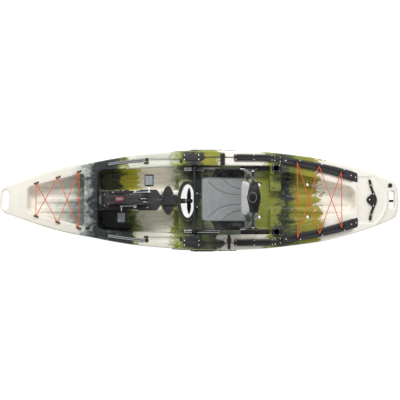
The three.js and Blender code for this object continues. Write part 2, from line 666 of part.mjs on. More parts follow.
// The latch that holds the drive in its bay, a bail on a pin between two ears of the console.
const LATCH = { s: 1040, z: 354, pin: 6, half: 94 };
function driveConsole() {
  const top = CONSOLE_TOP;
  const profile = [
    [1006, SPINE_TOP + GAP], [1560, SPINE_TOP + GAP], [1560, 328], [1535, top], [1020, top], [1006, 336],
  ];
  const base = solid(sidePlate(profile.map(([s, z]) => [fromBow(s), z]), -80, 80));
  const flange = [
    [1012, 90], [1195, 90], [1212, 106], [1292, 106], [1308, 96], [1402, 96], [1424, 106], [1580, 106], [1616, 54],
    [1616, -54], [1580, -106], [1402, -106], [1372, -90], [1290, -90], [1276, -100], [1226, -100], [1212, -90],
    [1012, -90],
  ].map(([s, y]) => [fromBow(s), y]);
  const rim = solid(plate(flange, SPINE_TOP + GAP, SPINE_TOP + 12));
  const ears = Object.values(SIDES).map((sign) => {
    const [y0, y1] = [sign * 80, sign * 88].sort((a, b) => a - b);
    return hullBox(LATCH.s - 11, LATCH.s + 11, y0, y1, top - 5, LATCH.z + 11);
  });
  const at = (y) => [fromBow(LATCH.s), y, LATCH.z];
  return cut(join(base, rim, ...ears), shaftBore, solid(rod(at(-120), at(120), LATCH.pin + GAP, 12)));
}
function driveLatch() {
  const { s, z, half, pin } = LATCH;
  const place = ([ds, y, dz]) => [fromBow(s + ds), y, z + dz];
  const path = [
    [0, -70, 0], [-6, -72, 30], [-14, -66, 58], [-20, -46, 72], [-22, 0, 74],
    [-20, 46, 72], [-14, 66, 58], [-6, 72, 30], [0, 70, 0],
  ].map(place);
  return join(solid(tube(path, 7, 8, 18)), solid(rod(place([0, -half, 0]), place([0, half, 0]), pin, 12)));
}
function drivePedestal() {
  const profile = [
    [1082, CONSOLE_TOP + GAP], [1525, CONSOLE_TOP + GAP], [1500, 352], [1440, RIDGE_TOP], [1090, RIDGE_TOP],
  ];
  return cut(solid(sidePlate(profile.map(([s, z]) => [fromBow(s), z]), -50, 50)), shaftBore);
}

// The housing seen from the side: a small lobe over the vertical shaft and a large one round the crank.
function caseOutline(inset) {
  const tangent = 116.5; // degrees, where the straight top edge meets both lobes
  const small = CASE.small - inset;
  const big = CASE.big - inset;
  const bottom = RIDGE_TOP + GAP + inset;
  return [
    [1098 + inset, bottom],
    ...arc(JACK.s, JACK.z, small, small, 190, tangent, 5),
    ...arc(CRANK.s, CRANK.z, big, big, tangent, -60, 12),
    [1425 - inset, 415],
    [1425 - inset, bottom],
  ].map(([s, z]) => [fromBow(s), z]);
}
function driveCase(sign) {
  const across = (y0, y1) => [sign * y0, sign * y1].sort((a, b) => a - b);
  const { s0, s1, z0, z1, corner } = CASE_WINDOW;
  const window = (grow) => {
    const outline = roundRectangle(fromBow(s0) - grow, fromBow(s1) + grow, z0 - grow, z1 + grow, corner);
    return solid(sidePlate(outline, -60, 60));
  };
  const shell = solid(sidePlate(caseOutline(0), ...across(GAP / 2, CASE.half)));
  const inside = solid(sidePlate(caseOutline(CASE.wall), ...across(-5, CASE.half - CASE.wall)));
  const spindle = solid(rod(crankAt(-60), crankAt(60), CRANK.spindle + 1, 20));
  return cut(shell, cut(inside, window(CASE.wall)), window(0), spindle, shaftBore);
}

// A loop round two circles, as [along, up] pairs.
function beltLoop(growth) {
  const tangent = 90 + 9.4 + 11.4;
  const lower = 9.4 * 2 - tangent;
  return [
    ...arc(fromBow(JACK.s), JACK.z, PULLEY + growth, PULLEY + growth, 360 + lower, tangent, 8),
    ...arc(fromBow(CRANK.s), CRANK.z, CHAINRING + growth, CHAINRING + growth, tangent, lower, 16),
  ];
}
const BELT = { y0: -9, y1: -3 };

piece("drive_console", surface(driveConsole()), MATERIALS.darkPlastic);
piece("drive_latch", surface(driveLatch()), MATERIALS.blackPlastic);
piece("drive_pedestal", surface(drivePedestal()), MATERIALS.darkPlastic);
eachSide((side, sign) => piece(`drive_case_${side}`, surface(driveCase(sign)), MATERIALS.darkPlastic));
const driveBelt = cut(
  solid(sidePlate(beltLoop(4), BELT.y0, BELT.y1)),
  solid(sidePlate(beltLoop(1.2), BELT.y0 - 1, BELT.y1 + 1)),
);
piece("drive_belt", surface(driveBelt), MATERIALS.blackPlastic);
piece(
  "chainring",
  surface(
    join(
      solid(rod(crankAt(BELT.y0), crankAt(BELT.y1), CHAINRING, 40)),
      solid(rod(crankAt(-CRANK.inner + GAP), crankAt(CRANK.inner - GAP), CRANK.spindle, 16)),
    ),
  ),
  MATERIALS.alloy,
);
piece(
  "jackshaft",
  surface(
    join(
      solid(rod(jackAt(-30), jackAt(30), JACK.radius, 14)),
      solid(rod(jackAt(BELT.y0 - 1), jackAt(BELT.y1 + 1), PULLEY, 24)),
      solid(rod(jackAt(5), jackAt(15), 20, 20, 12)),
    ),
  ),
  MATERIALS.alloy,
);
piece(
  "vertical_shaft",
  surface(
    join(
      solid(rod(belowJack(118), belowJack(470), JACK.radius, 14)),
      solid(rod(belowJack(466), belowJack(477), 19, 16, 14)),
    ),
  ),
  MATERIALS.alloy,
);

// The crank arms stand opposite each other, and each carries a pedal on its own axle.
function crankEnd(sign) {
  const angle = THREE.MathUtils.degToRad(CRANK.angle);
  const reach = sign * CRANK.arm;
  return { x: fromBow(CRANK.s) + reach * Math.cos(angle), z: CRANK.z + reach * Math.sin(angle) };
}
function crankArm(sign) {
  const end = crankEnd(sign);
  const turned = CRANK.angle + (sign > 0 ? 0 : 180);
  const outline = [
    ...arc(fromBow(CRANK.s), CRANK.z, 20, 20, turned + 85, turned + 275, 8),
    ...arc(end.x, end.z, 15, 15, turned - 90, turned + 90, 8),
  ];
  const [y0, y1] = [sign * CRANK.inner, sign * CRANK.outer].sort((a, b) => a - b);
  return sidePlate(outline, y0, y1);
}
const PEDAL = { y0: 122, y1: 236, length: 88, thick: 26, axle: 7 };
function pedal(sign) {
  const { x, z } = crankEnd(sign);
  const half = PEDAL.length / 2;
  const [y0, y1] = [sign * PEDAL.y0, sign * PEDAL.y1].sort((a, b) => a - b);
  const outline = roundRectangle(x - half, x + half, z - PEDAL.thick / 2, z + PEDAL.thick / 2, 9);
  const axle = rod([x, sign * (CRANK.outer + GAP), z], [x, sign * (PEDAL.y0 + 10), z], PEDAL.axle, 12);
  return join(solid(sidePlate(outline, y0, y1)), solid(axle));
}
eachSide((side, sign) => {
  piece(`crank_arm_${side}`, crankArm(sign), MATERIALS.alloy);
  piece(`pedal_${side}`, surface(pedal(sign)), MATERIALS.greyRubber);
});

// The strut hangs in the hull under the console and forks round the folding lower unit's gear housing.
const FORK = { inner: 31, outer: 38 };
const UNIT = { housing: 29, tube: 22, propAt: 1906 };
const pivotAt = (y) => [fromBow(PIVOT.s), y, PIVOT.z];
function driveLeg() {
  const strut = solid(rod(belowJack(120), belowJack(SPINE_TOP), 30, 24));
  const head = hullBox(PIVOT.s - 26, PIVOT.s + 26, -FORK.outer, FORK.outer, PIVOT.z + 32, PIVOT.z + 48);
  const cheeks = Object.values(SIDES).map((sign) => {
    const [y0, y1] = [sign * FORK.inner, sign * FORK.outer].sort((a, b) => a - b);
    return hullBox(PIVOT.s - 20, PIVOT.s + 20, y0, y1, PIVOT.z - 20, PIVOT.z + 40);
  });
  return cut(join(strut, head, ...cheeks), shaftBore, solid(rod(pivotAt(-60), pivotAt(60), 8 + GAP, 14)));
}
function lowerUnit() {
  const along = (s) => [fromBow(s), 0, PIVOT.z];
  return join(
    solid(rod(pivotAt(-FORK.inner + GAP), pivotAt(FORK.inner - GAP), UNIT.housing, 28)),
    solid(rod(pivotAt(-FORK.outer), pivotAt(FORK.outer), 8, 14)),
    solid(rod(along(PIVOT.s + 10), along(UNIT.propAt - 40), UNIT.tube, 20)),
    solid(rod(along(UNIT.propAt - 110), along(UNIT.propAt - 32), 26, 20)),
  );
}
// Two twisted blades on a hub that turns about the X axis. Rows are [radius, chord, pitch, thickness].
const BLADE_ROWS = [
  [14, 34, 62, 9], [50, 62, 46, 8], [95, 66, 32, 6], [125, 46, 25, 4], [138, 18, 22, 3],
];
function propellerBlade(sign) {
  const loops = BLADE_ROWS.map(([radius, chord, pitch, thick]) => {
    const turn = THREE.MathUtils.degToRad(pitch);
    return arc(0, 0, chord / 2, thick / 2, 315, 0, 7).map(([a, b]) => {
      const along = a * Math.sin(turn) - b * Math.cos(turn);
      const across = a * Math.cos(turn) + b * Math.sin(turn);
      return new THREE.Vector3(fromBow(UNIT.propAt) + along, sign * radius, PIVOT.z + sign * across);
    });
  });
  return solid(loft(loops));
}
function propeller() {
  const along = (s) => [fromBow(s), 0, PIVOT.z];
  const hub = solid(rod(along(UNIT.propAt - 30), along(UNIT.propAt + 40), 27, 20, 12));
  return join(hub, propellerBlade(1), propellerBlade(-1));
}
piece("drive_leg", surface(driveLeg()), MATERIALS.blackAlloy);
piece("lower_unit", surface(lowerUnit()), MATERIALS.blackAlloy);
piece("propeller", surface(propeller()), MATERIALS.blackPlastic);

function shaftCover() {
  const low = LOW_SPINE_TOP + GAP;
  const half = [
    [1640, 0], [1640, 50], [1645, 80], [1654, 112], [1672, 140], [1694, 151], [1716, 140], [1734, 112],
    [1743, 80], [1745, 55], [1784, 52], [1784, 0],
  ];
  const wing = (sign) => half.map(([s, y]) => [fromBow(s), sign * y]);
  const outline = [...wing(1), ...wing(-1).slice(1, -1).reverse()];
  return join(solid(plate(outline, low, low + 16)), hullBox(1642, 1778, -46, 46, low + 10, low + 34));
}
piece("shaft_cover", surface(shaftCover()), MATERIALS.darkPlastic);

function propWellRing() {
  const low = BOSS.top + GAP;
  return plate(propOutline(30, 35), low, low + 10, [propOutline(2, 35)]);
}
piece("prop_well_ring", propWellRing(), MATERIALS.blackPlastic);

// ---- Seat ----

const SEAT_TUBE = 13;
const SEAT_HALF = 290;
const BACK_HINGE = { s: 2548, z: 498 };
// The side tube rises from its front foot, runs back and down under the seat and ends on the rear rail.
const seatTubePath = (sign) =>
  [
    [1962, 320, 302], [1990, 316, 350], [2030, 308, 452], [2064, 299, 524], [2114, 292, 567],
    [2187, SEAT_HALF, 574], [2300, SEAT_HALF, 549], [2430, SEAT_HALF, 514], [2535, SEAT_HALF, 484],
    [2580, 294, 440], [2598, 306, 370], [2606, 318, 306],
  ].map(([s, y, z]) => [fromBow(s), sign * y, z]);
const acrossSeat = (s, z, half, radius) => rod([fromBow(s), -half, z], [fromBow(s), half, z], radius, 14);
function seatLeg(sign) {
  const path = [
    [2208, 272, 526], [2212, 268, 400], [2216, 264, 250], [2260, 262, 218], [2310, 264, 250],
    [2314, 268, 400], [2318, 272, 492],
  ];
  return tube(path.map(([s, y, z]) => [fromBow(s), sign * y, z]), 9, 8, 18);
}
// The sling hangs between the side tubes: its middle is grey mesh and its sides are black fabric.
const SLING = [[2066, 528], [2096, 547], [2150, 546], [2200, 532], [2340, 492], [2470, 452]];
const PAN_HALF = 216; // the mesh pan's half width, where its fabric sides start
const SLING_HALF = 261;
const PAN_THICK = 14;
const SIDE_THICK = 26;
const PAD_LIFT = 14; // how far the sides stand over the pan
function sling(y0, y1, lift, thick) {
  const top = SLING.map(([s, z]) => [fromBow(s), z + lift]);
  const bottom = SLING.map(([s, z]) => [fromBow(s), z + lift - thick]).reverse();
  return sidePlate([...top, ...bottom], y0, y1);
}
eachSide((side, sign) => {
  piece(`seat_tube_${side}`, tube(seatTubePath(sign), SEAT_TUBE, 8, 26), MATERIALS.blackAlloy);
  piece(`seat_leg_${side}`, seatLeg(sign), MATERIALS.blackAlloy);
  const [y0, y1] = [sign * PAN_HALF, sign * SLING_HALF].sort((a, b) => a - b);
  piece(`seat_side_${side}`, sling(y0, y1, PAD_LIFT, SIDE_THICK), MATERIALS.blackFabric);
});
piece("seat_pan", sling(-PAN_HALF + GAP, PAN_HALF - GAP, 0, PAN_THICK), MATERIALS.greyMesh);
const BAR = 11;
piece("seat_foot_bar", acrossSeat(1966, 362, 338, BAR), MATERIALS.blackAlloy);
piece("seat_front_bar", acrossSeat(2048, 540, 278, BAR), MATERIALS.blackAlloy);
piece("seat_rear_bar", acrossSeat(2552, 452, 272, BAR), MATERIALS.blackAlloy);

// The back folds about a hinge at the rear of the side tubes.
function backFrame() {
  const half = [
    [2548, 262, 498], [2527, 262, 545], [2506, 252, 604], [2492, 228, 740], [2494, 208, 864],
    [2512, 186, 925], [2534, 120, 942],
  ];
  const side = (sign) => half.map(([s, y, z]) => [fromBow(s), sign * y, z]);
  const arch = [...side(1), [fromBow(2540), 0, 946], ...side(-1).reverse()];
  const pivot = (sign) => {
    const y = (v) => [fromBow(BACK_HINGE.s), sign * v, BACK_HINGE.z];
    return solid(rod(y(255), y(274), 14, 16));
  };
  return join(solid(tube(arch, 11, 8, 32)), pivot(1), pivot(-1));
}
// The padded panels are lofted upwards: [height, front, back, half width].
function backPanel(rows) {
  return loft(
    rows.map(([z, front, back, half]) =>
      [[front, -half], [back, -half], [back, half], [front, half]].map(
        ([s, y]) => new THREE.Vector3(fromBow(s), -y, z),
      ),
    ).map((loop) => loop.reverse()),
  );
}
const LOWER_PANEL = [
  [618, 2436, 2470, 170], [640, 2418, 2468, 178], [700, 2416, 2466, 178], [733, 2420, 2466, 174],
];
const UPPER_PANEL = [
  [736, 2412, 2466, 172], [790, 2412, 2468, 175], [850, 2440, 2472, 172], [900, 2462, 2488, 160],
  [940, 2484, 2505, 130],
];
const HEADREST_HALF = 130;
piece("back_frame", surface(backFrame()), MATERIALS.blackAlloy);
piece("back_panel_lower", backPanel(LOWER_PANEL), MATERIALS.greyMesh);
function upperPanel() {
  const cap = [
    [2486, 930], [2508, 966], [2530, 967], [2566, 961], [2590, 946], [2596, 956], [2572, 980],
    [2536, 990], [2506, 984], [2476, 935],
  ].map(([s, z]) => [fromBow(s), z]);
  return join(solid(backPanel(UPPER_PANEL)), solid(sidePlate(cap, -HEADREST_HALF, HEADREST_HALF)));
}
piece("back_panel_upper", surface(upperPanel()), MATERIALS.blackFabric);

export default kayak;
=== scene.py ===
# The looks of a pedal-drive sit-on-top fishing kayak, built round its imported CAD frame.
# Metres, +X aft, +Y to starboard, +Z up. Places along the boat are often given in millimetres aft of
# the bow tip, as the CAD source gives them, and at() turns them into the frame's metres.
import math

import bmesh
import bpy
import numpy as np
import openvdb
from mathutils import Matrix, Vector
from mathutils.bvhtree import BVHTree


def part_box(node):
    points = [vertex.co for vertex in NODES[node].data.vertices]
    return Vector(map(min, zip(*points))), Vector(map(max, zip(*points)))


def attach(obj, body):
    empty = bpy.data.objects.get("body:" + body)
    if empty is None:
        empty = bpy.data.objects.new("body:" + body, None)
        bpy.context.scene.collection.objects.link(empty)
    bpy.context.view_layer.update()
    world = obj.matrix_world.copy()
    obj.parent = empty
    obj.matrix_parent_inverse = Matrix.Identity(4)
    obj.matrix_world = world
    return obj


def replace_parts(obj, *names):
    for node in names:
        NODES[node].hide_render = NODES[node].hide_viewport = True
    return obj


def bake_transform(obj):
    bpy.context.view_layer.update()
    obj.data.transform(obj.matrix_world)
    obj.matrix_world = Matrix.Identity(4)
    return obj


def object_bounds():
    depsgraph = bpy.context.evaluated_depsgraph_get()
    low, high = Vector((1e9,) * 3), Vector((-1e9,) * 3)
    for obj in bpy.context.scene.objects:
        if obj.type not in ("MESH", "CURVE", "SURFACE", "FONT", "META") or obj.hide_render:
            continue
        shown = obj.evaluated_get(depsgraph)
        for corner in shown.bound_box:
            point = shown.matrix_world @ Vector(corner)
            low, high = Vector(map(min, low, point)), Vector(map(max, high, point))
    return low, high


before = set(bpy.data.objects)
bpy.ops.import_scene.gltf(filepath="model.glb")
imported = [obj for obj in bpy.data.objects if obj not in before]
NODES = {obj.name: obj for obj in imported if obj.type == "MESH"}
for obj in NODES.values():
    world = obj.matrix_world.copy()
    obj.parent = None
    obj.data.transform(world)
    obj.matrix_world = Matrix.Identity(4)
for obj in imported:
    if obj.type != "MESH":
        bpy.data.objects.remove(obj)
CAD_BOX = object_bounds()

MM = 0.001
BOW_X = min(corner[0] for corner in CAD_BOX)
SIDES = {"port": -1, "starboard": 1}


def at(s, y, z):
    """A place given in millimetres: aft of the bow tip, to starboard, and up."""
    return Vector((BOW_X + s * MM, y * MM, z * MM))


def size_of(node):
    """A CAD node's lowest and highest corners in millimetres, aft of the bow tip like at()."""
    low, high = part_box(node)
    shift = Vector((BOW_X, 0, 0))
    return (low - shift) / MM, (high - shift) / MM


# ---- Camera, floor and light ----

DECK_HEIGHT = 0.345
CAMERA_HEIGHT = 8.0
CAMERA_TO_PORT = -0.3  # the camera stands a little to port of the middle and looks back at it
SENSOR = 36.0
VIEW_WIDTH = 4.0532  # metres of deck across the frame


def add_camera():
    data = bpy.data.cameras.new("camera")
    data.sensor_width = SENSOR
    data.lens = SENSOR * (CAMERA_HEIGHT - DECK_HEIGHT) / VIEW_WIDTH
    data.clip_end = 100
    camera = bpy.data.objects.new("camera", data)
    aim = Vector((-0.0235, 0, DECK_HEIGHT))
    camera.location = (aim.x, CAMERA_TO_PORT, CAMERA_HEIGHT)
    camera.rotation_euler = (aim - camera.location).to_track_quat("-Z", "Y").to_euler()
    bpy.context.collection.objects.link(camera)
    bpy.context.scene.camera = camera


LIGHT_TARGET = Vector((0, 0, 0.3))


def add_softbox(name, location, watts, size):
    data = bpy.data.lights.new(name, "AREA")
    data.energy = watts
    data.shape = "RECTANGLE"
    data.size, data.size_y = size
    light = bpy.data.objects.new(name, data)
    light.location = location
    light.rotation_euler = (LIGHT_TARGET - Vector(location)).to_track_quat("-Z", "Y").to_euler()
    bpy.context.collection.objects.link(light)


def add_studio():
    world = bpy.data.worlds.new("studio")
    world.use_nodes = True
    background = world.node_tree.nodes["Background"]
    background.inputs["Color"].default_value = (1.0, 1.0, 1.0, 1)
    background.inputs["Strength"].default_value = 0.52
    scene = bpy.context.scene
    scene.world = world
    scene.view_settings.view_transform = "Standard"
    add_softbox("key", (-0.2, 3.0, 3.2), 180, (5.0, 0.7))
    add_softbox("fill", (1.0, -3.2, 3.6), 18, (4.0, 1.6))


def add_floor():
    mesh = bpy.data.meshes.new("floor")
    half = 14
    mesh.from_pydata([(-half, -half, 0), (half, -half, 0), (half, half, 0), (-half, half, 0)], [],
                     [(0, 1, 2, 3)])
    floor = bpy.data.objects.new("floor", mesh)
    floor.location.z = -0.001
    bpy.context.collection.objects.link(floor)
    material = bpy.data.materials.new("pale_floor")
    material.use_nodes = True
    shader = material.node_tree.nodes["Principled BSDF"]
    shader.inputs["Base Color"].default_value = (0.4, 0.4, 0.4, 1)
    shader.inputs["Roughness"].default_value = 0.9
    shader.inputs["Emission Color"].default_value = (1.0, 1.0, 1.0, 1)
    shader.inputs["Emission Strength"].default_value = 0.85
    mesh.materials.append(material)


add_camera()
add_studio()
add_floor()


# ---- Materials ----


class Nodes:
    """A material's node tree, with short calls for the nodes that the finishes below are made of."""

    def __init__(self, name):
        self.material = bpy.data.materials.new(name)
        self.material.use_nodes = True
        self.tree = self.material.node_tree
        self.shader = self.tree.nodes["Principled BSDF"]

    def add(self, kind, **inputs):
        node = self.tree.nodes.new(kind)
        for name, value in inputs.items():
            self.plug(node, name.replace("_", " "), value)
        return node

    def plug(self, node, name, value):
        socket = node.inputs[name]
        if isinstance(value, bpy.types.NodeSocket):
            self.tree.links.new(value, socket)
        else:
            socket.default_value = value

    def place(self):
        return self.add("ShaderNodeTexCoord").outputs["Object"]

    def split(self, vector):
        node = self.add("ShaderNodeSeparateXYZ", Vector=vector)
        return node.outputs["X"], node.outputs["Y"], node.outputs["Z"]

    def math(self, operation, a, b=0.0, c=0.0):
        node = self.add("ShaderNodeMath")
        node.operation = operation
        for i, value in enumerate((a, b, c)):
            self.plug(node, i, value)
        return node.outputs["Value"]

    def noise(self, scale, detail=2.0, roughness=0.5, stretch=(1, 1, 1), distortion=0.0, vector=None):
        mapping = self.add("ShaderNodeMapping", Vector=vector or self.place(), Scale=stretch)
        node = self.add("ShaderNodeTexNoise", Vector=mapping.outputs["Vector"], Scale=scale, Detail=detail,
                        Roughness=roughness, Distortion=distortion)
        return node.outputs["Fac"]

    def ramp(self, factor, stops):
        node = self.add("ShaderNodeValToRGB", Fac=factor)
        elements = node.color_ramp.elements
        while len(elements) < len(stops):
            elements.new(1.0)
        for element, (position, color) in zip(elements, stops):
            element.position = position
            element.color = (*color, 1)
        return node.outputs["Color"]

    def mix(self, factor, a, b):
        node = self.add("ShaderNodeMix")
        node.data_type = "RGBA"
        self.plug(node, 0, factor)
        self.plug(node, 6, a if isinstance(a, bpy.types.NodeSocket) else (*a, 1))
        self.plug(node, 7, b if isinstance(b, bpy.types.NodeSocket) else (*b, 1))
        return node.outputs[2]

    def spread(self, factor, low, high):
        """A number from low to high as factor goes from 0 to 1."""
        node = self.add("ShaderNodeMapRange", Value=factor, To_Min=low, To_Max=high)
        return node.outputs["Result"]

    def step(self, value, start, end):
        """0 below start and 1 above end, with a smooth change between them."""
        node = self.add("ShaderNodeMapRange", Value=value, From_Min=start, From_Max=end)
        node.interpolation_type = "SMOOTHSTEP"
        return node.outputs["Result"]

    # An ambient-occlusion mask, used to paint shade into corners and creases.
    def crease_shade(self, distance, open_share, shut_share):
        """0 where the surface lies open and 1 deep in corners nearer to each other than the distance."""
        node = self.add("ShaderNodeAmbientOcclusion", Distance=distance)
        node.samples = 8
        return self.step(node.outputs["AO"], open_share, shut_share)

    def bump(self, height, strength, distance):
        node = self.add("ShaderNodeBump", Height=height, Strength=strength, Distance=distance)
        return node.outputs["Normal"]

    def finish(self, color, roughness, normal=None, **sockets):
        self.plug(self.shader, "Base Color", color)
        self.plug(self.shader, "Roughness", roughness)
        if normal is not None:
            self.plug(self.shader, "Normal", normal)
        for name, value in sockets.items():
            self.shader.inputs[name.replace("_", " ")].default_value = value
        return self.material


def rgb(red, green, blue):
    """A colour given in 0-255 display values, as the shader's linear ones."""
    def linear(v):
        v /= 255
        return v / 12.92 if v <= 0.04045 else ((v + 0.055) / 1.055) ** 2.4
    return (linear(red), linear(green), linear(blue))


CREAM = rgb(242, 237, 226)
BONE = rgb(222, 218, 205)
MIST = rgb(198, 200, 188)
SAGE = rgb(160, 170, 134)
SLATE = rgb(126, 134, 130)
LIME = rgb(190, 186, 62)
FERN = rgb(160, 168, 92)
OLIVE = rgb(130, 136, 54)
MOSS = rgb(82, 92, 48)
INK = rgb(38, 42, 45)
MUSTARD = rgb(150, 142, 44)
# The colour of the painted shade in the hull's corners and grooves.
CREASE_SHADE = rgb(48, 45, 36)


def bands(nodes, along, table):
    """Colours along the boat from a table of (distance from the bow in mm, colour)."""
    longest = 4090
    stops = [(s / longest, color) for s, color in table]
    return nodes.ramp(nodes.math("DIVIDE", along, longest), stops)


def camo_hull():
    """Swirled rotomoulded colour: bands along the boat with torn edges, drawn apart for each part of it."""
    nodes = Nodes("camo_hull")
    x, y, z = nodes.split(nodes.place())
    side = nodes.math("ABSOLUTE", y)
    slow = nodes.noise(3.2, 3, 0.55)
    ragged = nodes.noise(17, 6, 0.72, stretch=(0.7, 1, 1), distortion=0.4)
    fine = nodes.noise(120, 3, 0.65)
    place = nodes.math("MULTIPLY_ADD", x, 1000.0, -1000.0 * BOW_X)
    wander = nodes.math("MULTIPLY_ADD", slow, 150.0, -75.0)
    tear = nodes.math("MULTIPLY_ADD", ragged, 430.0, -215.0)
    along = nodes.math("ADD", nodes.math("ADD", place, wander), tear)
    starboard = nodes.step(y, -0.02, 0.02)
    deck = nodes.mix(starboard, bands(nodes, along, DECK_PORT), bands(nodes, along, DECK_STARBOARD))
    floor = nodes.mix(starboard, bands(nodes, along, FLOOR_PORT), bands(nodes, along, FLOOR_STARBOARD))
    topside = bands(nodes, along, SIDE_BANDS)
    bottom = bands(nodes, along, BOTTOM_BANDS)
    normal = nodes.split(nodes.add("ShaderNodeNewGeometry").outputs["Normal"])
    low = nodes.step(z, 0.335, 0.30)
    beside = nodes.step(nodes.math("ABSOLUTE", normal[1]), 0.45, 0.75)
    outward = nodes.math("GREATER_THAN", nodes.math("MULTIPLY", normal[1], y), 0.0)
    outside = nodes.math("MULTIPLY", beside, nodes.math("MULTIPLY", outward, nodes.step(side, 0.1, 0.18)))
    color = nodes.mix(low, deck, floor)
    color = nodes.mix(outside, color, topside)
    color = nodes.mix(nodes.step(normal[2], -0.2, -0.5), color, bottom)
    color = swirls(nodes, color)
    pores = nodes.step(fine, 0.62, 0.72)
    color = nodes.mix(nodes.math("MULTIPLY", pores, 0.06), color, MOSS)
    # Painted shade: well corners and the edges of ribs and grooves darken by ambient occlusion.
    corners = nodes.math("MULTIPLY", nodes.crease_shade(0.05, 0.75, 0.3), 0.5)
    grooves = nodes.math("MULTIPLY", nodes.crease_shade(0.014, 0.93, 0.55), 0.6)
    color = nodes.mix(nodes.math("MAXIMUM", corners, grooves), color, CREASE_SHADE)
    grain = nodes.noise(900, 2)
    height = nodes.math("MULTIPLY_ADD", nodes.noise(38, 2), 0.6, grain)
    return nodes.finish(color, nodes.spread(grain, 0.4, 0.55), nodes.bump(height, 0.12, 0.0015),
                        Specular_IOR_Level=0.4)


def swirls(nodes, color):
    """Wisps of lighter and darker resin, drawn out along the boat."""
    wisp = nodes.noise(26, 5, 0.68, stretch=(0.45, 1.3, 1), distortion=0.8)
    dark = nodes.math("MULTIPLY", nodes.step(wisp, 0.54, 0.70), 0.10)
    pale = nodes.math("MULTIPLY", nodes.step(wisp, 0.44, 0.32), 0.20)
    color = nodes.mix(dark, color, INK)
    return nodes.mix(pale, color, MIST)


DECK_STARBOARD = [
    (0, CREAM), (700, BONE), (800, MIST), (880, SLATE), (930, INK), (1190, INK), (1230, MOSS),
    (1270, OLIVE), (1330, BONE), (1400, MIST), (1730, MIST), (1775, SAGE), (1820, OLIVE), (1880, MOSS),
    (1920, INK), (2000, INK), (2062, MOSS), (2100, MUSTARD), (2225, OLIVE), (2265, CREAM),
    (2650, CREAM), (2720, OLIVE), (2850, INK), (2950, MOSS), (3010, OLIVE), (3215, MUSTARD),
    (3262, CREAM), (4040, CREAM),
]
DECK_PORT = [
    (0, CREAM), (740, BONE), (850, SLATE), (920, INK), (1300, INK), (1350, OLIVE), (1400, BONE),
    (1720, BONE), (1790, OLIVE), (1880, MOSS), (1930, INK), (2040, INK), (2100, MOSS), (2225, INK),
    (2275, BONE), (2650, BONE), (2730, OLIVE), (2850, INK), (2960, MOSS), (3020, OLIVE),
    (3215, MUSTARD), (3262, CREAM), (4040, CREAM),
]
FLOOR_STARBOARD = [
    (0, CREAM), (420, CREAM), (600, BONE), (740, MIST), (820, SLATE), (880, INK), (980, INK),
    (1060, MOSS), (1130, INK), (1190, MOSS), (1230, LIME), (1380, LIME), (1415, CREAM), (1700, CREAM),
    (1780, SAGE), (1840, MOSS), (1900, INK), (2040, INK), (2100, MOSS), (2180, SAGE), (2560, SAGE),
    (2650, OLIVE), (2790, OLIVE), (2880, INK), (2950, INK), (3010, OLIVE), (3060, MUSTARD),
    (3225, MUSTARD), (3268, CREAM), (4040, CREAM),
]
FLOOR_PORT = [
    (0, CREAM), (420, CREAM), (600, MIST), (740, SLATE), (860, SLATE), (900, INK), (1260, INK),
    (1310, MOSS), (1350, OLIVE), (1385, SAGE), (1430, BONE), (1690, BONE), (1740, OLIVE), (1850, MOSS),
    (1920, INK), (2040, MOSS), (2180, SAGE), (2560, SLATE), (2640, OLIVE), (2800, OLIVE), (2880, INK),
    (2960, MOSS), (3020, OLIVE), (3070, MUSTARD), (3225, MUSTARD), (3268, CREAM), (4040, CREAM),
]
SIDE_BANDS = [
    (0, CREAM), (330, CREAM), (450, SAGE), (640, SAGE), (850, MIST), (1080, SAGE), (1250, MIST),
    (1640, MIST), (1760, SAGE), (1900, FERN), (2060, FERN), (2260, SAGE), (2500, MIST), (2900, SAGE),
    (3300, MIST), (3700, CREAM), (4040, CREAM),
]
BOTTOM_BANDS = [
    (0, CREAM), (500, BONE), (720, SLATE), (800, INK), (1080, INK), (1180, OLIVE), (1250, CREAM),
    (1560, CREAM), (1640, OLIVE), (1800, MOSS), (2000, MOSS), (2140, SAGE), (2250, BONE), (2500, CREAM),
    (2600, OLIVE), (2760, MOSS), (2960, OLIVE), (3080, MIST), (3400, MIST), (3560, CREAM),
    (4040, CREAM),
]


def lighter(color, share=0.3):
    return tuple(v + (1 - v) * share * 0.35 for v in color)


def darker(color, share=0.4):
    return tuple(v * (1 - share) for v in color)


def moulded(name, color, rough=(0.38, 0.56), grain=0.10, worn=0.25, **sockets):
    """Moulded plastic: a fine grain, pale scuffs in patches, and slow changes of gloss."""
    nodes = Nodes(name)
    scuff = nodes.step(nodes.noise(46, 5, 0.7), 0.56, 0.78)
    tone = nodes.mix(nodes.noise(7, 3), darker(color, 0.14), lighter(color, 0.05))
    tone = nodes.mix(nodes.math("MULTIPLY", scuff, worn), tone, lighter(color))
    # Painted shade: the colour darkens deep in tight creases and corners, by ambient occlusion.
    tone = nodes.mix(nodes.crease_shade(0.012, 0.85, 0.4), tone, darker(color, 0.7))
    gloss = nodes.spread(nodes.noise(14, 3), *rough)
    sockets.setdefault("Specular_IOR_Level", 0.45)
    return nodes.finish(tone, gloss, nodes.bump(nodes.noise(850, 3), grain, 0.0007), **sockets)


def metal(name, color, rough=(0.24, 0.4), stretch=(0.04, 1, 1), metallic=1.0, grain=0.05):
    """Drawn or brushed metal, with fine lines along the boat and a little tarnish."""
    nodes = Nodes(name)
    lines = nodes.noise(1100, 2, stretch=stretch)
    tarnish = nodes.step(nodes.noise(30, 4, 0.65), 0.5, 0.8)
    tone = nodes.mix(lines, darker(color, 0.12), lighter(color, 0.2))
    tone = nodes.mix(nodes.math("MULTIPLY", tarnish, 0.3), tone, darker(color, 0.45))
    gloss = nodes.spread(tarnish, *rough)
    return nodes.finish(tone, gloss, nodes.bump(lines, grain, 0.0004), Metallic=metallic)


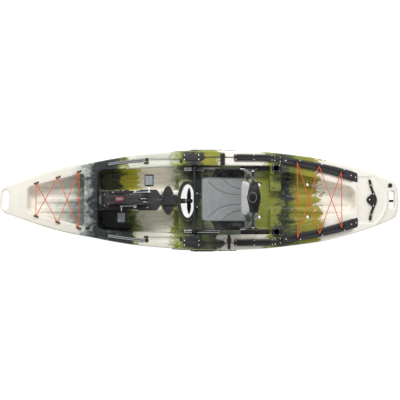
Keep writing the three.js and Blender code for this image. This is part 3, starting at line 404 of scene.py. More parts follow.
def cloth_axes(nodes):
    """Two directions that lie across each other on level, upright and side-facing cloth."""
    x, y, z = nodes.split(nodes.place())
    across = nodes.math("ADD", y, nodes.math("MULTIPLY", nodes.math("SUBTRACT", x, z), 0.35))
    return across, nodes.math("ADD", x, z)


def thread(nodes, along, pitch):
    """A wave from 0 to 1 that repeats with the pitch, in metres."""
    wave = nodes.math("SINE", nodes.math("MULTIPLY", along, 2 * math.pi / pitch))
    return nodes.math("MULTIPLY_ADD", wave, 0.5, 0.5)


def woven(name, color, pitch=0.0024, rough=0.85, contrast=0.4, relief=0.5, sheen=0.25):
    """Plain-woven cloth with a thread pitch in metres and slight fading."""
    nodes = Nodes(name)
    across, along = cloth_axes(nodes)
    over = nodes.math("MULTIPLY", thread(nodes, across, pitch), thread(nodes, along, pitch * 2))
    under = nodes.math("MULTIPLY", thread(nodes, across, pitch * 2), thread(nodes, along, pitch))
    weave = nodes.math("MAXIMUM", over, under)
    tone = nodes.mix(weave, darker(color, contrast), color)
    fade = nodes.step(nodes.noise(11, 4, 0.6), 0.45, 0.75)
    tone = nodes.mix(nodes.math("MULTIPLY", fade, 0.4), tone, lighter(color, 0.35))
    return nodes.finish(tone, rough, nodes.bump(weave, relief, 0.0006), Sheen_Weight=sheen,
                        Specular_IOR_Level=0.25)


def open_mesh(name, yarn, hole, pitch=0.0062, size=0.62):
    """Knitted spacer mesh: pale yarn round rows of dark holes, each row set half a hole along."""
    nodes = Nodes(name)
    across, along = cloth_axes(nodes)
    first = nodes.math("MULTIPLY", thread(nodes, across, pitch), thread(nodes, along, pitch))
    half = pitch / 2
    second = nodes.math("MULTIPLY", thread(nodes, nodes.math("ADD", across, half), pitch),
                        thread(nodes, nodes.math("ADD", along, half), pitch))
    holes = nodes.step(nodes.math("MAXIMUM", first, second), size - 0.14, size + 0.14)
    blotch = nodes.noise(16, 4, 0.6)
    tone = nodes.mix(holes, nodes.mix(blotch, darker(yarn, 0.22), lighter(yarn, 0.15)), hole)
    height = nodes.math("SUBTRACT", 1.0, holes)
    return nodes.finish(tone, 0.8, nodes.bump(height, 0.6, 0.0012), Sheen_Weight=0.2,
                        Specular_IOR_Level=0.25)


def ribbed_webbing(name, color):
    nodes = Nodes(name)
    across, along = cloth_axes(nodes)
    ribs = nodes.math("MULTIPLY", thread(nodes, along, 0.0026), thread(nodes, across, 0.0052))
    tone = nodes.mix(ribs, darker(color, 0.5), lighter(color, 0.1))
    return nodes.finish(tone, 0.75, nodes.bump(ribs, 0.5, 0.0008), Sheen_Weight=0.2)


def rubber(name, color, rough=(0.6, 0.8)):
    """Rubber with a fine tooth and a dusty bloom."""
    nodes = Nodes(name)
    bloom = nodes.step(nodes.noise(24, 4, 0.6), 0.42, 0.7)
    tone = nodes.mix(nodes.math("MULTIPLY", bloom, 0.45), color, lighter(color, 0.5))
    gloss = nodes.spread(bloom, *rough)
    return nodes.finish(tone, gloss, nodes.bump(nodes.noise(420, 3), 0.25, 0.001), Specular_IOR_Level=0.35)


def braided(name, color, fleck):
    """Shock cord: a braid of slanting strands with a fleck of a second colour."""
    nodes = Nodes(name)
    x, y, z = nodes.split(nodes.place())
    one = thread(nodes, nodes.math("ADD", nodes.math("ADD", x, y), z), 0.0042)
    other = thread(nodes, nodes.math("SUBTRACT", nodes.math("SUBTRACT", x, y), z), 0.0042)
    strands = nodes.math("MAXIMUM", one, other)
    tone = nodes.mix(strands, darker(color, 0.35), color)
    flecks = nodes.step(nodes.noise(520, 2), 0.62, 0.7)
    tone = nodes.mix(nodes.math("MULTIPLY", flecks, 0.6), tone, fleck)
    return nodes.finish(tone, 0.7, nodes.bump(strands, 0.5, 0.0008), Sheen_Weight=0.25)


COAL = rgb(27, 26, 29)
FINISHES = {
    "camo_hull": camo_hull(),
    "black_plastic": moulded("black_plastic", COAL),
    "rail_plastic": moulded("rail_plastic", rgb(36, 34, 40), (0.46, 0.62)),
    "dark_plastic": moulded("dark_plastic", rgb(44, 42, 48), (0.36, 0.55)),
    "pale_plastic": moulded("pale_plastic", rgb(128, 130, 132), (0.34, 0.5)),
    "gloss_black": moulded("gloss_black", rgb(24, 24, 26), (0.08, 0.2), 0.03, 0.1, Coat_Weight=0.6,
                           Coat_Roughness=0.08),
    "orange_plastic": moulded("orange_plastic", rgb(214, 92, 34)),
    "red_metal": metal("red_metal", rgb(188, 34, 30), (0.25, 0.38), metallic=0.55),
    "alloy": metal("alloy", rgb(206, 208, 210)),
    "black_alloy": metal("black_alloy", rgb(48, 48, 50), (0.34, 0.5), metallic=0.55),
    "forged_alloy": metal("forged_alloy", rgb(206, 208, 212), (0.26, 0.4), metallic=0.6),
    "bright_steel": metal("bright_steel", rgb(244, 244, 242), (0.25, 0.4), (1, 1, 1), 0.6),
    "dark_steel": metal("dark_steel", rgb(84, 84, 86), (0.3, 0.45), (1, 1, 1)),
    "black_fabric": woven("black_fabric", rgb(19, 18, 21), sheen=0.08),
    "grey_mesh": open_mesh("grey_mesh", rgb(160, 164, 164), rgb(84, 87, 88)),
    "pale_mesh": open_mesh("pale_mesh", rgb(206, 209, 206), rgb(140, 144, 142), 0.0046),
    "piping": woven("piping", rgb(128, 130, 130), 0.0018),
    "webbing": ribbed_webbing("webbing", rgb(38, 38, 40)),
    "grey_webbing": ribbed_webbing("grey_webbing", rgb(96, 97, 100)),
    "tread_rubber": rubber("tread_rubber", rgb(142, 150, 156)),
    "seam_thread": woven("seam_thread", rgb(92, 94, 96), 0.0014),
    "grey_rubber": rubber("grey_rubber", rgb(98, 100, 100)),
    "grip_rubber": rubber("grip_rubber", rgb(32, 32, 34)),
    "belt_rubber": rubber("belt_rubber", rgb(34, 34, 35)),
    "orange_cord": braided("orange_cord", rgb(226, 96, 30), rgb(250, 170, 90)),
    "black_cord": braided("black_cord", rgb(38, 38, 40), rgb(120, 120, 120)),
}


# ---- Material slots ----


def dress(name, mesh, finish, body):
    mesh.validate()
    mesh.polygons.foreach_set("use_smooth", [True] * len(mesh.polygons))
    mesh.materials.append(FINISHES[finish])
    piece = bpy.data.objects.new(name, mesh)
    bpy.context.collection.objects.link(piece)
    if body:
        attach(piece, body)
    return piece


# ---- Hull lines, in millimetres from the bow tip ----


def fair(table):
    """A smooth curve through a table of (distance from the bow, value)."""
    places, values = np.array(table, float).T
    last = len(places) - 1
    ahead = np.minimum(np.arange(last + 1) + 1, last)
    behind = np.maximum(np.arange(last + 1) - 1, 0)
    slopes = (values[ahead] - values[behind]) / (places[ahead] - places[behind])

    def curve(s):
        s = np.clip(s, places[0], places[-1])
        i = np.clip(np.searchsorted(places, s, side="right") - 1, 0, last - 1)
        h = places[i + 1] - places[i]
        t = (s - places[i]) / h
        return (
            values[i] * (1 + 2 * t) * (1 - t) ** 2
            + slopes[i] * h * t * (1 - t) ** 2
            + values[i + 1] * t * t * (3 - 2 * t)
            + slopes[i + 1] * h * t * t * (t - 1)
        )

    return curve


HULL_LENGTH = 4040
HALF_WIDTH = 524  # out to the bosses of the carry handles
HIGHEST_DECK = 433
BOW_ROUND = 115
STERN_ROUND = 56
BOW_HALF = 151
STERN_HALF = 186
SPINE_HALF, HIGH_SPINE, LOW_SPINE = 105, 322, 236  # the raised middle, under the drive and aft of it
PROP_WELL = 1893  # the middle of the oval well over the propeller
PROP_WELL_HOLE = (72, 176)  # half its length and half its width
HANDLE_Y, HANDLE_Z = 516, 262  # the pins of the carry handles
ROD_S, ROD_Y, ROD_RAKE = 2798, 322, 0.175
SCUPPERS, SCUPPER_Y = (2640, 3140), 168
RUDDER_POST = 3735
half_beam = fair([
    (113, 151), (350, 235), (630, 318), (940, 383), (1320, 452), (1700, 488), (2150, 508), (2450, 504),
    (2700, 490), (2950, 463), (3250, 420), (3570, 341), (3830, 253), (3986, 186),
])
sheer = fair([
    (0, 414), (80, 428), (200, 424), (620, 396), (1000, 364), (1400, 349), (2000, 345), (3960, 345),
    (4040, 336),
])
keel = fair([
    (0, 396), (15, 380), (60, 358), (118, 343), (150, 288), (191, 214), (256, 137), (321, 91),
    (387, 67), (517, 50), (711, 34), (908, 25.5), (2040, 25.5), (2430, 32), (2690, 42), (2951, 58),
    (3160, 78), (3342, 97), (3694, 142), (3930, 186), (4000, 246), (4040, 300),
])
chine = fair([
    (0, 404), (80, 372), (118, 350), (350, 280), (550, 240), (850, 206), (1200, 196), (2000, 182),
    (3000, 190), (3600, 225), (3930, 262), (4000, 285), (4040, 306),
])
tuck = fair([
    (0, 0.75), (100, 0.7), (118, 0.08), (160, 0.33), (220, 0.58), (320, 0.8), (450, 0.9), (600, 0.955),
    (1000, 0.965), (3900, 0.965), (4040, 0.9),
])
vee = fair([(118, 1), (500, 0.75), (900, 0.15), (1200, 0), (3000, 0), (3600, 0.1), (4040, 0)])


# ---- Distance fields, negative inside, in millimetres ----


def meet(a, b, radius):
    """What is in both fields, its edge rounded."""
    corner = np.hypot(np.maximum(a + radius, 0), np.maximum(b + radius, 0))
    return np.minimum(np.maximum(a, b), -radius) + corner


def unite(a, b, radius):
    """What is in either field, the corner between them filled to a radius."""
    return -meet(-a, -b, radius)


def without(a, b, radius):
    return meet(a, -b, radius)


def ramp_up(value, start, end):
    t = np.clip((value - start) / (end - start), 0, 1)
    return t * t * (3 - 2 * t)


class HullField:
    """The hull's surface as the zero level of a field on one half of the boat's grid."""

    STEP = 7.5

    def __init__(self):
        step = self.STEP
        self.s = np.arange(-3 * step, HULL_LENGTH + 3 * step, step, dtype=np.float32)[:, None, None]
        self.y = np.arange(0, HALF_WIDTH + 4 * step, step, dtype=np.float32)[None, :, None]
        self.z = np.arange(-1.5 * step, HIGHEST_DECK + 4 * step, step, dtype=np.float32)[None, None]
        self.top = sheer(self.s)
        self.deck = self.top + 5 - 5 * (self.y / 500) ** 2

    def body(self):
        s, y, z = self.s, self.y, self.z
        edge = chine(s)
        climb = np.clip((z - edge) / (self.top - 14 - edge), 0, 1)
        across = y / (0.965 + 0.035 * climb * (2 - climb))
        beam = half_beam(s)
        plan = across - beam
        bow = np.hypot((BOW_ROUND - s) / BOW_ROUND, across / BOW_HALF) * BOW_ROUND - BOW_ROUND
        stern_arc = HULL_LENGTH - STERN_ROUND
        stern = np.hypot((s - stern_arc) / STERN_ROUND, across / STERN_HALF) * STERN_ROUND - STERN_ROUND
        plan = np.where(s < BOW_ROUND, bow, np.where(s > stern_arc, stern, plan))
        low = np.minimum(keel(s), edge - 8)
        inner = np.maximum(beam * tuck(s), 10)
        share = np.clip(y / inner, 0, 1)
        bottom = low + (edge - low) * share ** (10 ** (1 - vee(s))) - self.strakes()
        slope = np.hypot(*np.gradient(bottom[:, :, 0], self.STEP))[:, :, None]
        under = (bottom - z) / np.sqrt(1 + slope ** 2)
        return meet(meet(plan, z - self.deck - self.deck_relief(), 12), under, 4)

    def strakes(self):
        """Low ridges along the bottom: one down each side, and a pair along the middle aft of the drive."""
        s, y = self.s, self.y
        outer = 6 * np.exp(-(((y - 265) / 11) ** 2)) * ramp_up(s, 620, 900) * ramp_up(s, 3100, 2700)
        middle = 5 * np.exp(-(((y - 86) / 9) ** 2)) * ramp_up(s, 1990, 2150) * ramp_up(s, 3120, 2950)
        return outer + middle

    def deck_relief(self):
        """The bow's soft shoulder, the stern's crescent and sunk panel, and a pocket in each gunwale."""
        s, y = self.s, self.y
        shoulder = 5 * ramp_up(s, 200, 150)
        radius = np.hypot(s - 3595, y)
        crescent = 9 * np.exp(-(((radius - 319) / 11) ** 2)) * ramp_up(s, 3740, 3800)
        panel = -8 * ramp_up(s, 3612, 3622) * ramp_up(s, 3770, 3756) * ramp_up(y, 240, 228)
        across_pocket = ramp_up(y, 372, 380) * ramp_up(y, 420, 411)
        pocket = -13 * ramp_up(s, 1505, 1516) * ramp_up(s, 1838, 1826) * across_pocket
        return shoulder + crescent + panel + pocket

    def well(self, s0, s1, half0, half1, corner, floor, draft=14, fillet=24):
        """A hollow with leaning sides, round corners and a floor given as a number or a field."""
        s, y, z = self.s, self.y, self.z
        half = half0 + (half1 - half0) * (s - s0) / (s1 - s0)
        lean = draft * np.clip((self.top - z) / 150, 0, 1)
        ends = np.maximum(s0 - s, s - s1) + lean
        flare = math.cos(math.atan2(abs(half1 - half0), s1 - s0))
        plan = meet(ends, (y - half) * flare + lean, corner)
        return meet(plan, floor - z, fillet)

    def block(self, s0, s1, half, top, radius=14):
        """A box across the middle of the boat, up to a height."""
        plan = meet(np.maximum(s0 - self.s, self.s - s1), self.y - half, radius)
        return meet(plan, self.z - top, radius)

    def oval(self, s, half_length, half_width):
        """An upright oval hole."""
        distance = np.hypot((self.s - s) / half_length, self.y / half_width) - 1
        return distance * half_length

    def ribs(self, places, s0, s1, height):
        """Flat-topped ribs along a floor, at (y, half width) places."""
        ends = ramp_up(self.s, s0, s0 + 40) * ramp_up(self.s, s1, s1 - 40)
        return sum(height * ends * ramp_up(np.abs(self.y - y), half + 7, half - 7) for y, half in places)

    def hollows(self):
        s, z = self.s, self.z
        bow_floor = 302 + (226 - 302) * (s - 285) / (850 - 285)
        bow = self.well(285, 850, 122, 272, 40, bow_floor + self.ribs([(0, 26), (98, 26)], 340, 822, 11))
        floor = 115 + self.ribs([(176, 12), (222, 12), (268, 12)], 1250, 1700, 6)
        foot = self.well(985, 1812, 300, 346, 60, floor)
        foot = without(foot, self.block(900, 1630, SPINE_HALF, HIGH_SPINE), 20)
        foot = without(foot, self.block(900, 1900, SPINE_HALF, LOW_SPINE), 20)
        seat_floor = 200 + self.ribs([(150, 14), (205, 14)], 2010, 2640, 7)
        seat = self.well(1782, 2738, 292, 292, 30, seat_floor, 4, 14)
        seat = unite(seat, self.well(1782, 2738, 348, 348, 16, 270, 4, 8), 6)
        boss = meet(self.oval(PROP_WELL, 108, 212), z - LOW_SPINE, 12)
        seat = without(seat, boss, 10)
        seat = without(seat, self.block(1700, PROP_WELL, SPINE_HALF, LOW_SPINE), 10)
        passage = unite(
            meet(self.block(2678, 2910, 262, 900), 270 - z, 10),
            meet(self.block(2678, 2910, 85, 900), 200 - z, 14), 8)
        grooves = self.ribs([(0, 46), (104, 22), (205, 18)], 2890, 3560, 10)
        stern = self.well(2850, 3600, 300, 122, 75, 196 + grooves)
        whole = unite(unite(foot, seat, 12), passage, 10)
        return [bow, unite(whole, stern, 14)]

    def holes(self):
        s, y, z = self.s, self.y, self.z
        slot = meet(meet(np.maximum(1080 - s, s - 1830), y - 52, 20), z - 132, 8)
        leg = np.maximum(meet(np.maximum(1105 - s, s - 1197), y - 40, 8), 50 - z)
        holes = [slot, leg, self.oval(PROP_WELL, *PROP_WELL_HOLE)]
        for s0, s1, half in ((36, 100, 96), (3940, 4003, 94)):
            holes.append(meet(np.maximum(s0 - s, s - s1), y - half, 30))
        for middle in SCUPPERS:
            holes.append(np.hypot(s - middle, y - SCUPPER_Y) - 18)
            across = np.hypot((y - SCUPPER_Y) / 27, (z - keel(s)) / 26)
            drain = np.hypot((s - middle - 45) / 66, across) - 1
            holes.append(drain * 26)
        raked = s - ROD_S - ROD_RAKE * (sheer(ROD_S) - z)
        holes.append(np.maximum(np.hypot(raked, y - ROD_Y) - 30, 190 - z))
        holes.append(np.hypot(s - RUDDER_POST, y) - 13)
        return holes

    def skeg(self):
        s, y, z = self.s, self.y, self.z
        nose = np.maximum((24 - z) * 0.87 + (3330 - s) * 0.5, (3180 - s) * 0.6 + (100 - z) * 0.8)
        front = np.maximum(nose, 12.4 - z)
        width = 30 * np.sqrt(np.clip((s - 3180) / 260, 0.02, 1))
        return meet(np.maximum(front, np.maximum(s - 3686, z - 180)), y - width, 7)

    def bosses(self):
        s, y, z = self.s, self.y, self.z
        ends = np.minimum(np.abs(s - 1935), np.abs(s - 2175)) - 10
        return meet(meet(ends, np.abs(z - HANDLE_Z) - 12, 4), y - HALF_WIDTH, 4)

    def whole(self):
        field = unite(self.body(), self.skeg(), 22)
        field = unite(field, self.bosses(), 5)
        for hollow in self.hollows():
            field = without(field, hollow, 9)
        for hole in self.holes():
            field = without(field, hole, 5)
        return field


MOST_TRIANGLES = 180000


def add_hull():
    half = HullField()
    field = half.whole().astype(np.float32)
    mirrored = np.concatenate([field[:, :0:-1, :], field], axis=1)
    grid = openvdb.FloatGrid(background=50.0)
    grid.copyFromArray(np.ascontiguousarray(mirrored))
    points, _, quads = grid.convertToPolygons(isovalue=0.0, adaptivity=0.0)
    origin = np.array([half.s[0, 0, 0], -(field.shape[1] - 1) * half.STEP, half.z[0, 0, 0]])
    points = (points * half.STEP + origin) * MM
    points[:, 0] += BOW_X
    mesh = bpy.data.meshes.new("hull")
    mesh.from_pydata(points.tolist(), [], quads.tolist())
    hull = dress("hull", mesh, "camo_hull", "hull")
    slim = hull.modifiers.new("slim", "DECIMATE")
    slim.ratio = min(1.0, MOST_TRIANGLES / (2 * len(mesh.polygons)))
    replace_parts(hull, "hull_shell")
    return hull


add_hull()


# ---- Mesh making ----

UP = np.array([0.0, 0.0, 1.0])


class Shape:
    """Closed bodies gathered into one piece, in millimetres: aft of the bow tip, to starboard, up."""

    def __init__(self):
        self.points = []
        self.faces = []

    def add(self, points, faces):
        start = len(self.points)
        self.points += [tuple(p) for p in points]
        self.faces += [tuple(start + i for i in face) for face in faces]
        return self

    def loft(self, loops, closed=False):
        """A skin over loops that each have the same count of points, capped unless closed on itself."""
        count = len(loops[0])
        rows = len(loops)
        faces = []
        for i in range(rows if closed else rows - 1):
            for j in range(count):
                k = (j + 1) % count
                a, b = i * count, ((i + 1) % rows) * count
                faces.append((a + j, a + k, b + k, b + j))
        if not closed:
            faces.append(tuple(range(count))[::-1])
            faces.append(tuple(range((rows - 1) * count, rows * count)))
        return self.add([p for loop in loops for p in loop], faces)

    def prism(self, outline, axis, low, high):
        """A flat outline raised along axis "x", "y" or "z"; its points give the other two in order."""
        def lift(u, v, w):
            return {"x": (w, u, v), "y": (u, w, v), "z": (u, v, w)}[axis]
        return self.loft([[lift(u, v, w) for u, v in outline] for w in (low, high)])

    def box(self, low, high):
        outline = [(low[0], low[1]), (high[0], low[1]), (high[0], high[1]), (low[0], high[1])]
        return self.prism(outline, "z", low[2], high[2])

    def lathe(self, centre, axis, profile, sides=24):
        """A turned body about an axis from (distance along it, radius) pairs, capped at both ends."""
        axis = np.array(axis, float) / np.linalg.norm(axis)
        across = np.cross(axis, (0.31, 0.94, 0.13))
        across /= np.linalg.norm(across)
        other = np.cross(axis, across)
        turns = np.linspace(0, 2 * math.pi, sides, endpoint=False)[:, None]
        ring = np.cos(turns) * across + np.sin(turns) * other
        return self.loft([
            np.array(centre) + axis * along + ring * max(radius, 0.05) for along, radius in profile
        ])

    def tube(self, path, radius, sides=12, steps=6, closed=False, flat=1.0):
        """A round or flattened cord along a smooth path. radius may be a function of the share along it."""
        line = smooth_path(path, steps, closed)
        ahead = np.roll(line, -1, 0) - np.roll(line, 1, 0)
        if not closed:
            ahead[0], ahead[-1] = line[1] - line[0], line[-1] - line[-2]
        ahead /= np.linalg.norm(ahead, axis=1)[:, None]
        across = np.cross(ahead[0], UP if abs(ahead[0][2]) < 0.9 else (0, 1, 0))
        loops = []
        turns = np.linspace(0, 2 * math.pi, sides, endpoint=False)[:, None]
        for i, (place, along) in enumerate(zip(line, ahead)):
            across = across - along * (across @ along)
            across /= np.linalg.norm(across)
            up = np.cross(across, along)
            r = radius(i / (len(line) - 1)) if callable(radius) else radius
            loops.append(place + r * (np.cos(turns) * across + flat * np.sin(turns) * up))
        return self.loft(loops, closed)

    def screw(self, place, axis=(0, 0, 1), radius=5.0):
        """A pan head with a dimple, standing on its place."""
        profile = [(-1, radius), (1.4, radius), (3, radius * 0.7), (3, radius * 0.36), (1.6, radius * 0.25)]
        return self.lathe(place, axis, profile, 12)

    def piece(self, name, finish, body, bevel=0.0):
        points = [(BOW_X + s * MM, y * MM, z * MM) for s, y, z in self.points]
        mesh = bpy.data.meshes.new(name)
        mesh.from_pydata(points, [], self.faces)
        tidy = bmesh.new()
        tidy.from_mesh(mesh)
        bmesh.ops.recalc_face_normals(tidy, faces=tidy.faces)
        tidy.to_mesh(mesh)
        tidy.free()
        made = dress(name, mesh, finish, body)
        soften(made, bevel)
        return made


def soften(piece, bevel):
    """Rounds the hard edges of a piece by a width in millimetres and evens its shading."""
    if bevel:
        edge = piece.modifiers.new("edges", "BEVEL")
        edge.width = bevel * MM
        edge.segments = 3
        edge.angle_limit = math.radians(32)
        edge.use_clamp_overlap = True
    even = piece.modifiers.new("shading", "WEIGHTED_NORMAL")
    even.keep_sharp = False


def smooth_path(path, steps, closed=False):
    """Points on a Catmull-Rom curve through a path, with a count of steps between its points."""
    points = np.array(path, float)
    count = len(points)
    if steps <= 1:
        return points
    line = []
    for i in range(count if closed else count - 1):
        if closed:
            p0, p1, p2, p3 = (points[(i + k) % count] for k in (-1, 0, 1, 2))
        else:
            p0, p1, p2, p3 = (points[min(max(i + k, 0), count - 1)] for k in (-1, 0, 1, 2))
        for t in np.arange(steps) / steps:
            line.append(0.5 * (2 * p1 + (p2 - p0) * t + (2 * p0 - 5 * p1 + 4 * p2 - p3) * t * t
                               + (3 * p1 - p0 - 3 * p2 + p3) * t ** 3))
    if not closed:
        line.append(points[-1])
    return np.array(line)


def round_outline(x0, x1, y0, y1, radius, steps=5):
    """A rectangle with round corners, as (along, across) points."""
    radius = min(radius, (x1 - x0) / 2 - 0.01, (y1 - y0) / 2 - 0.01)
    points = []
    for cx, cy, start in ((x1 - radius, y1 - radius, 0), (x0 + radius, y1 - radius, 90),
                          (x0 + radius, y0 + radius, 180), (x1 - radius, y0 + radius, 270)):
        points += arc(cx, cy, radius, radius, start, start + 90, steps)
    return points


def arc(cx, cy, rx, ry, start, end, steps):
    turns = np.radians(np.linspace(start, end, steps + 1))
    return [(cx + rx * math.cos(a), cy + ry * math.sin(a)) for a in turns]


def mirror(outline, sign):
    return [(u, sign * v) for u, v in outline]


def mirror_first(outline, sign):
    return [(sign * u, v) for u, v in outline]


TREES = {}
ABOVE_ALL = 3000


def top_of(node, s, y):
    """The height in millimetres of a CAD node's highest surface at a place, found by a ray from above."""
    if node not in TREES:
        mesh = NODES[node].data
        TREES[node] = BVHTree.FromPolygons([v.co for v in mesh.vertices],
                                           [p.vertices for p in mesh.polygons])
    hit = TREES[node].ray_cast(at(s, y, ABOVE_ALL), Vector((0, 0, -1)))[0]
    return hit.z / MM


def keep_node(name, finish, bevel):
    """Shows a CAD node as it is, with its edges rounded and its own finish."""
    node = NODES[name]
    node.data.materials.clear()
    node.data.materials.append(FINISHES[finish])
    node.data.polygons.foreach_set("use_smooth", [True] * len(node.data.polygons))
    node.modifiers.new("join", "WELD").merge_threshold = 0.00002
    soften(node, bevel)


def each_side(make):
    for side, sign in SIDES.items():
        make(side, sign)


# ---- Rails, tracks and plates on the gunwales ----

GEAR_TRACK = [(1094, 350, 376), (1300, 378, 404), (1457, 395, 421)]
STERN_RAIL = [(2850, 368, 436), (2950, 352, 421), (3200, 302, 378), (3400, 246, 334), (3560, 194, 291),
              (3618, 176, 272)]
SIDE_TRAY = [(2369, 402, 464), (2450, 402, 464), (2700, 398, 460), (2768, 394, 456)]


def between(table, s):
    """The rest of a table's row at s, straight between its rows."""
    rows = np.array(table, float)
    return [float(np.interp(s, rows[:, 0], rows[:, k])) for k in range(1, rows.shape[1])]


def front_gear_track(side, sign):
    name = f"front_gear_track_{side}"
    keep_node(name, "alloy", 1.2)
    slot = Shape()
    screws = Shape()
    loops = []
    for s in np.linspace(1112, 1440, 9):
        inner, outer = between(GEAR_TRACK, s)
        middle = (inner + outer) / 2
        top = top_of(name, s, sign * middle)
        loops.append([(s, sign * (middle - 3.5), top - 2), (s, sign * (middle - 3.5), top + 0.4),
                      (s, sign * (middle + 3.5), top + 0.4), (s, sign * (middle + 3.5), top - 2)])
    slot.loft(loops)
    slot.piece(f"gear_track_slot_{side}", "black_plastic", "hull")
    for s in (1108, 1186, 1275, 1364, 1444):
        middle = sum(between(GEAR_TRACK, s)) / 2
        screws.screw((s, sign * middle, top_of(name, s, sign * middle)), radius=5.4)
    screws.piece(f"gear_track_screws_{side}", "dark_steel", "hull")
    pad = Shape()
    for s0, s1, y0, y1, height in ((1066, 1088, 346, 378, 9), (1466, 1500, 392, 426, 5)):
        base = top_of("hull_shell", s0, sign * y0)
        pad.prism(mirror(round_outline(s0, s1, y0, y1, 6), sign), "z", base - 4, base + height)
    pad.piece(f"gear_track_ends_{side}", "black_plastic", "hull", bevel=2)


def accessory_plate(side, sign):
    name = f"accessory_plate_{side}"
    low, high = size_of(name)
    top = high.z
    plate = Shape()
    outline = [(1850, 410), (1856, 404), (2042, 404), (2062, 420), (2062, 446), (2042, 462),
               (1856, 462), (1850, 456)]
    plate.prism(mirror(outline, sign), "z", low.z, top)
    plate.piece(f"accessory_plate_top_{side}", "black_plastic", "hull", bevel=2)
    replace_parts(bpy.data.objects[f"accessory_plate_top_{side}"], name)
    recess = Shape()
    recess.prism(mirror(round_outline(1880, 1990, 418, 448, 12), sign), "z", top - 2, top + 0.5)
    recess.prism(mirror(round_outline(1894, 1976, 425, 441, 7), sign), "z", top, top + 3.5)
    recess.piece(f"accessory_plate_recess_{side}", "dark_plastic", "hull", bevel=1)
    screws = Shape()
    for s in (1864, 2010):
        for y in (411, 455):
            screws.screw((s, sign * y, top), radius=6.8)
    screws.piece(f"accessory_plate_screws_{side}", "bright_steel", "hull")


def side_tray(side, sign):
    name = f"side_tray_{side}"
    tray = Shape()
    stations = [2369, 2376, 2450, 2580, 2700, 2752, 2768]
    loops = []
    for s in stations:
        inner, outer = between(SIDE_TRAY, s)
        base = top_of(name, min(max(s, 2371), 2766), sign * (inner + 3)) - 28
        end = 8 if s in (stations[0], stations[-1]) else 0
        profile = [(inner, 0), (inner, 20 - end), (inner + 8, 26 - end), (inner + 14, 27 - end),
                   (inner + 17, 16 - end), (outer - 17, 16 - end), (outer - 14, 27 - end),
                   (outer - 8, 26 - end), (outer, 20 - end), (outer, 0)]
        loops.append([(s, sign * y, base + z) for y, z in profile])
    tray.loft(loops)
    for s in np.arange(2400, 2740, 34.0):
        inner, outer = between(SIDE_TRAY, s)
        base = top_of(name, s, sign * (inner + 3)) - 28
        y0, y1 = sorted((sign * (inner + 14), sign * (outer - 14)))
        tray.box((s, y0, base + 10), (s + 6, y1, base + 24))
    tray.piece(f"side_tray_ribbed_{side}", "black_plastic", "hull", bevel=1.5)
    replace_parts(bpy.data.objects[f"side_tray_ribbed_{side}"], name)
    plate = Shape()
    screws = Shape()
    base = top_of("hull_shell", 2800, sign * 408)
    outline = [(2774, 396), (2838, 384), (2846, 440), (2774, 454)]
    plate.prism(mirror(outline, sign), "z", base - 4, base + 9)
    plate.prism(mirror(round_outline(2786, 2832, 402, 434, 8), sign), "z", base + 6, base + 13)
    plate.piece(f"connector_plate_{side}", "black_plastic", "hull", bevel=2)
    for s, y in ((2781, 402), (2781, 446), (2834, 392), (2837, 434)):
        screws.screw((s, sign * y, base + 9), radius=5.6)
    for s in (2386, 2568, 2750):
        inner, outer = between(SIDE_TRAY, s)
        for y in (inner + 8, outer - 8):
            screws.screw((s, sign * y, top_of(name, s, sign * y) - 2), radius=5.6)
    screws.piece(f"side_tray_screws_{side}", "bright_steel", "hull")


def stern_rail(side, sign):
    name = f"stern_rail_{side}"
    rail = Shape()
    screws = Shape()
    loops = []
    stations = [2850, 2856, 2880, 2905, 2920, 3000, 3100, 3200, 3300, 3400, 3490, 3505, 3540, 3562,
                3576, 3612, 3618]
    for s in stations:
        inner, outer = between(STERN_RAIL, s)
        base = max(top_of("hull_shell", s, sign * (inner - 2)), top_of("hull_shell", s, sign * outer)) + 0.8
        height = float(np.interp(s, (2850, 2856, 2880, 3540, 3562, 3576, 3612, 3618),
                                 (8, 22, 33, 33, 22, 8, 7, 4)))
        tuck_in = float(np.interp(s, (2850, 2880, 3612, 3618), (10, 0, 0, 14)))
        inner, outer = inner + tuck_in, outer - tuck_in
        groove = 9 * float(ramp_up(s, 2905, 2920) * ramp_up(s, 3505, 3490))
        middle = (inner + outer) / 2
        profile = [(inner, 0), (inner + 1, height - 7), (inner + 8, height), (middle - 12, height),
                   (middle - 9, height - groove), (middle + 9, height - groove), (middle + 12, height),
                   (outer - 8, height), (outer - 1, height - 7), (outer, 0)]
        loops.append([(s, sign * y, base + z) for y, z in profile])
    rail.loft(loops)
    rail.piece(f"stern_rail_grooved_{side}", "rail_plastic", "hull", bevel=1.5)
    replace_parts(bpy.data.objects[f"stern_rail_grooved_{side}"], name)
    for s in (2888, 3548, 3600):
        inner, outer = between(STERN_RAIL, s)
        middle = (inner + outer) / 2
        screws.screw((s, sign * middle, top_of(name, s, sign * middle) - 0.5), radius=6.8)
    for s in (3004, 3225, 3449):
        inner, outer = between(STERN_RAIL, s)
        screws.screw((s + 30, sign * (outer - 14), top_of(name, s + 30, sign * (outer - 14)) - 0.5),
                     radius=6.3)
    screws.piece(f"stern_rail_screws_{side}", "bright_steel", "hull")


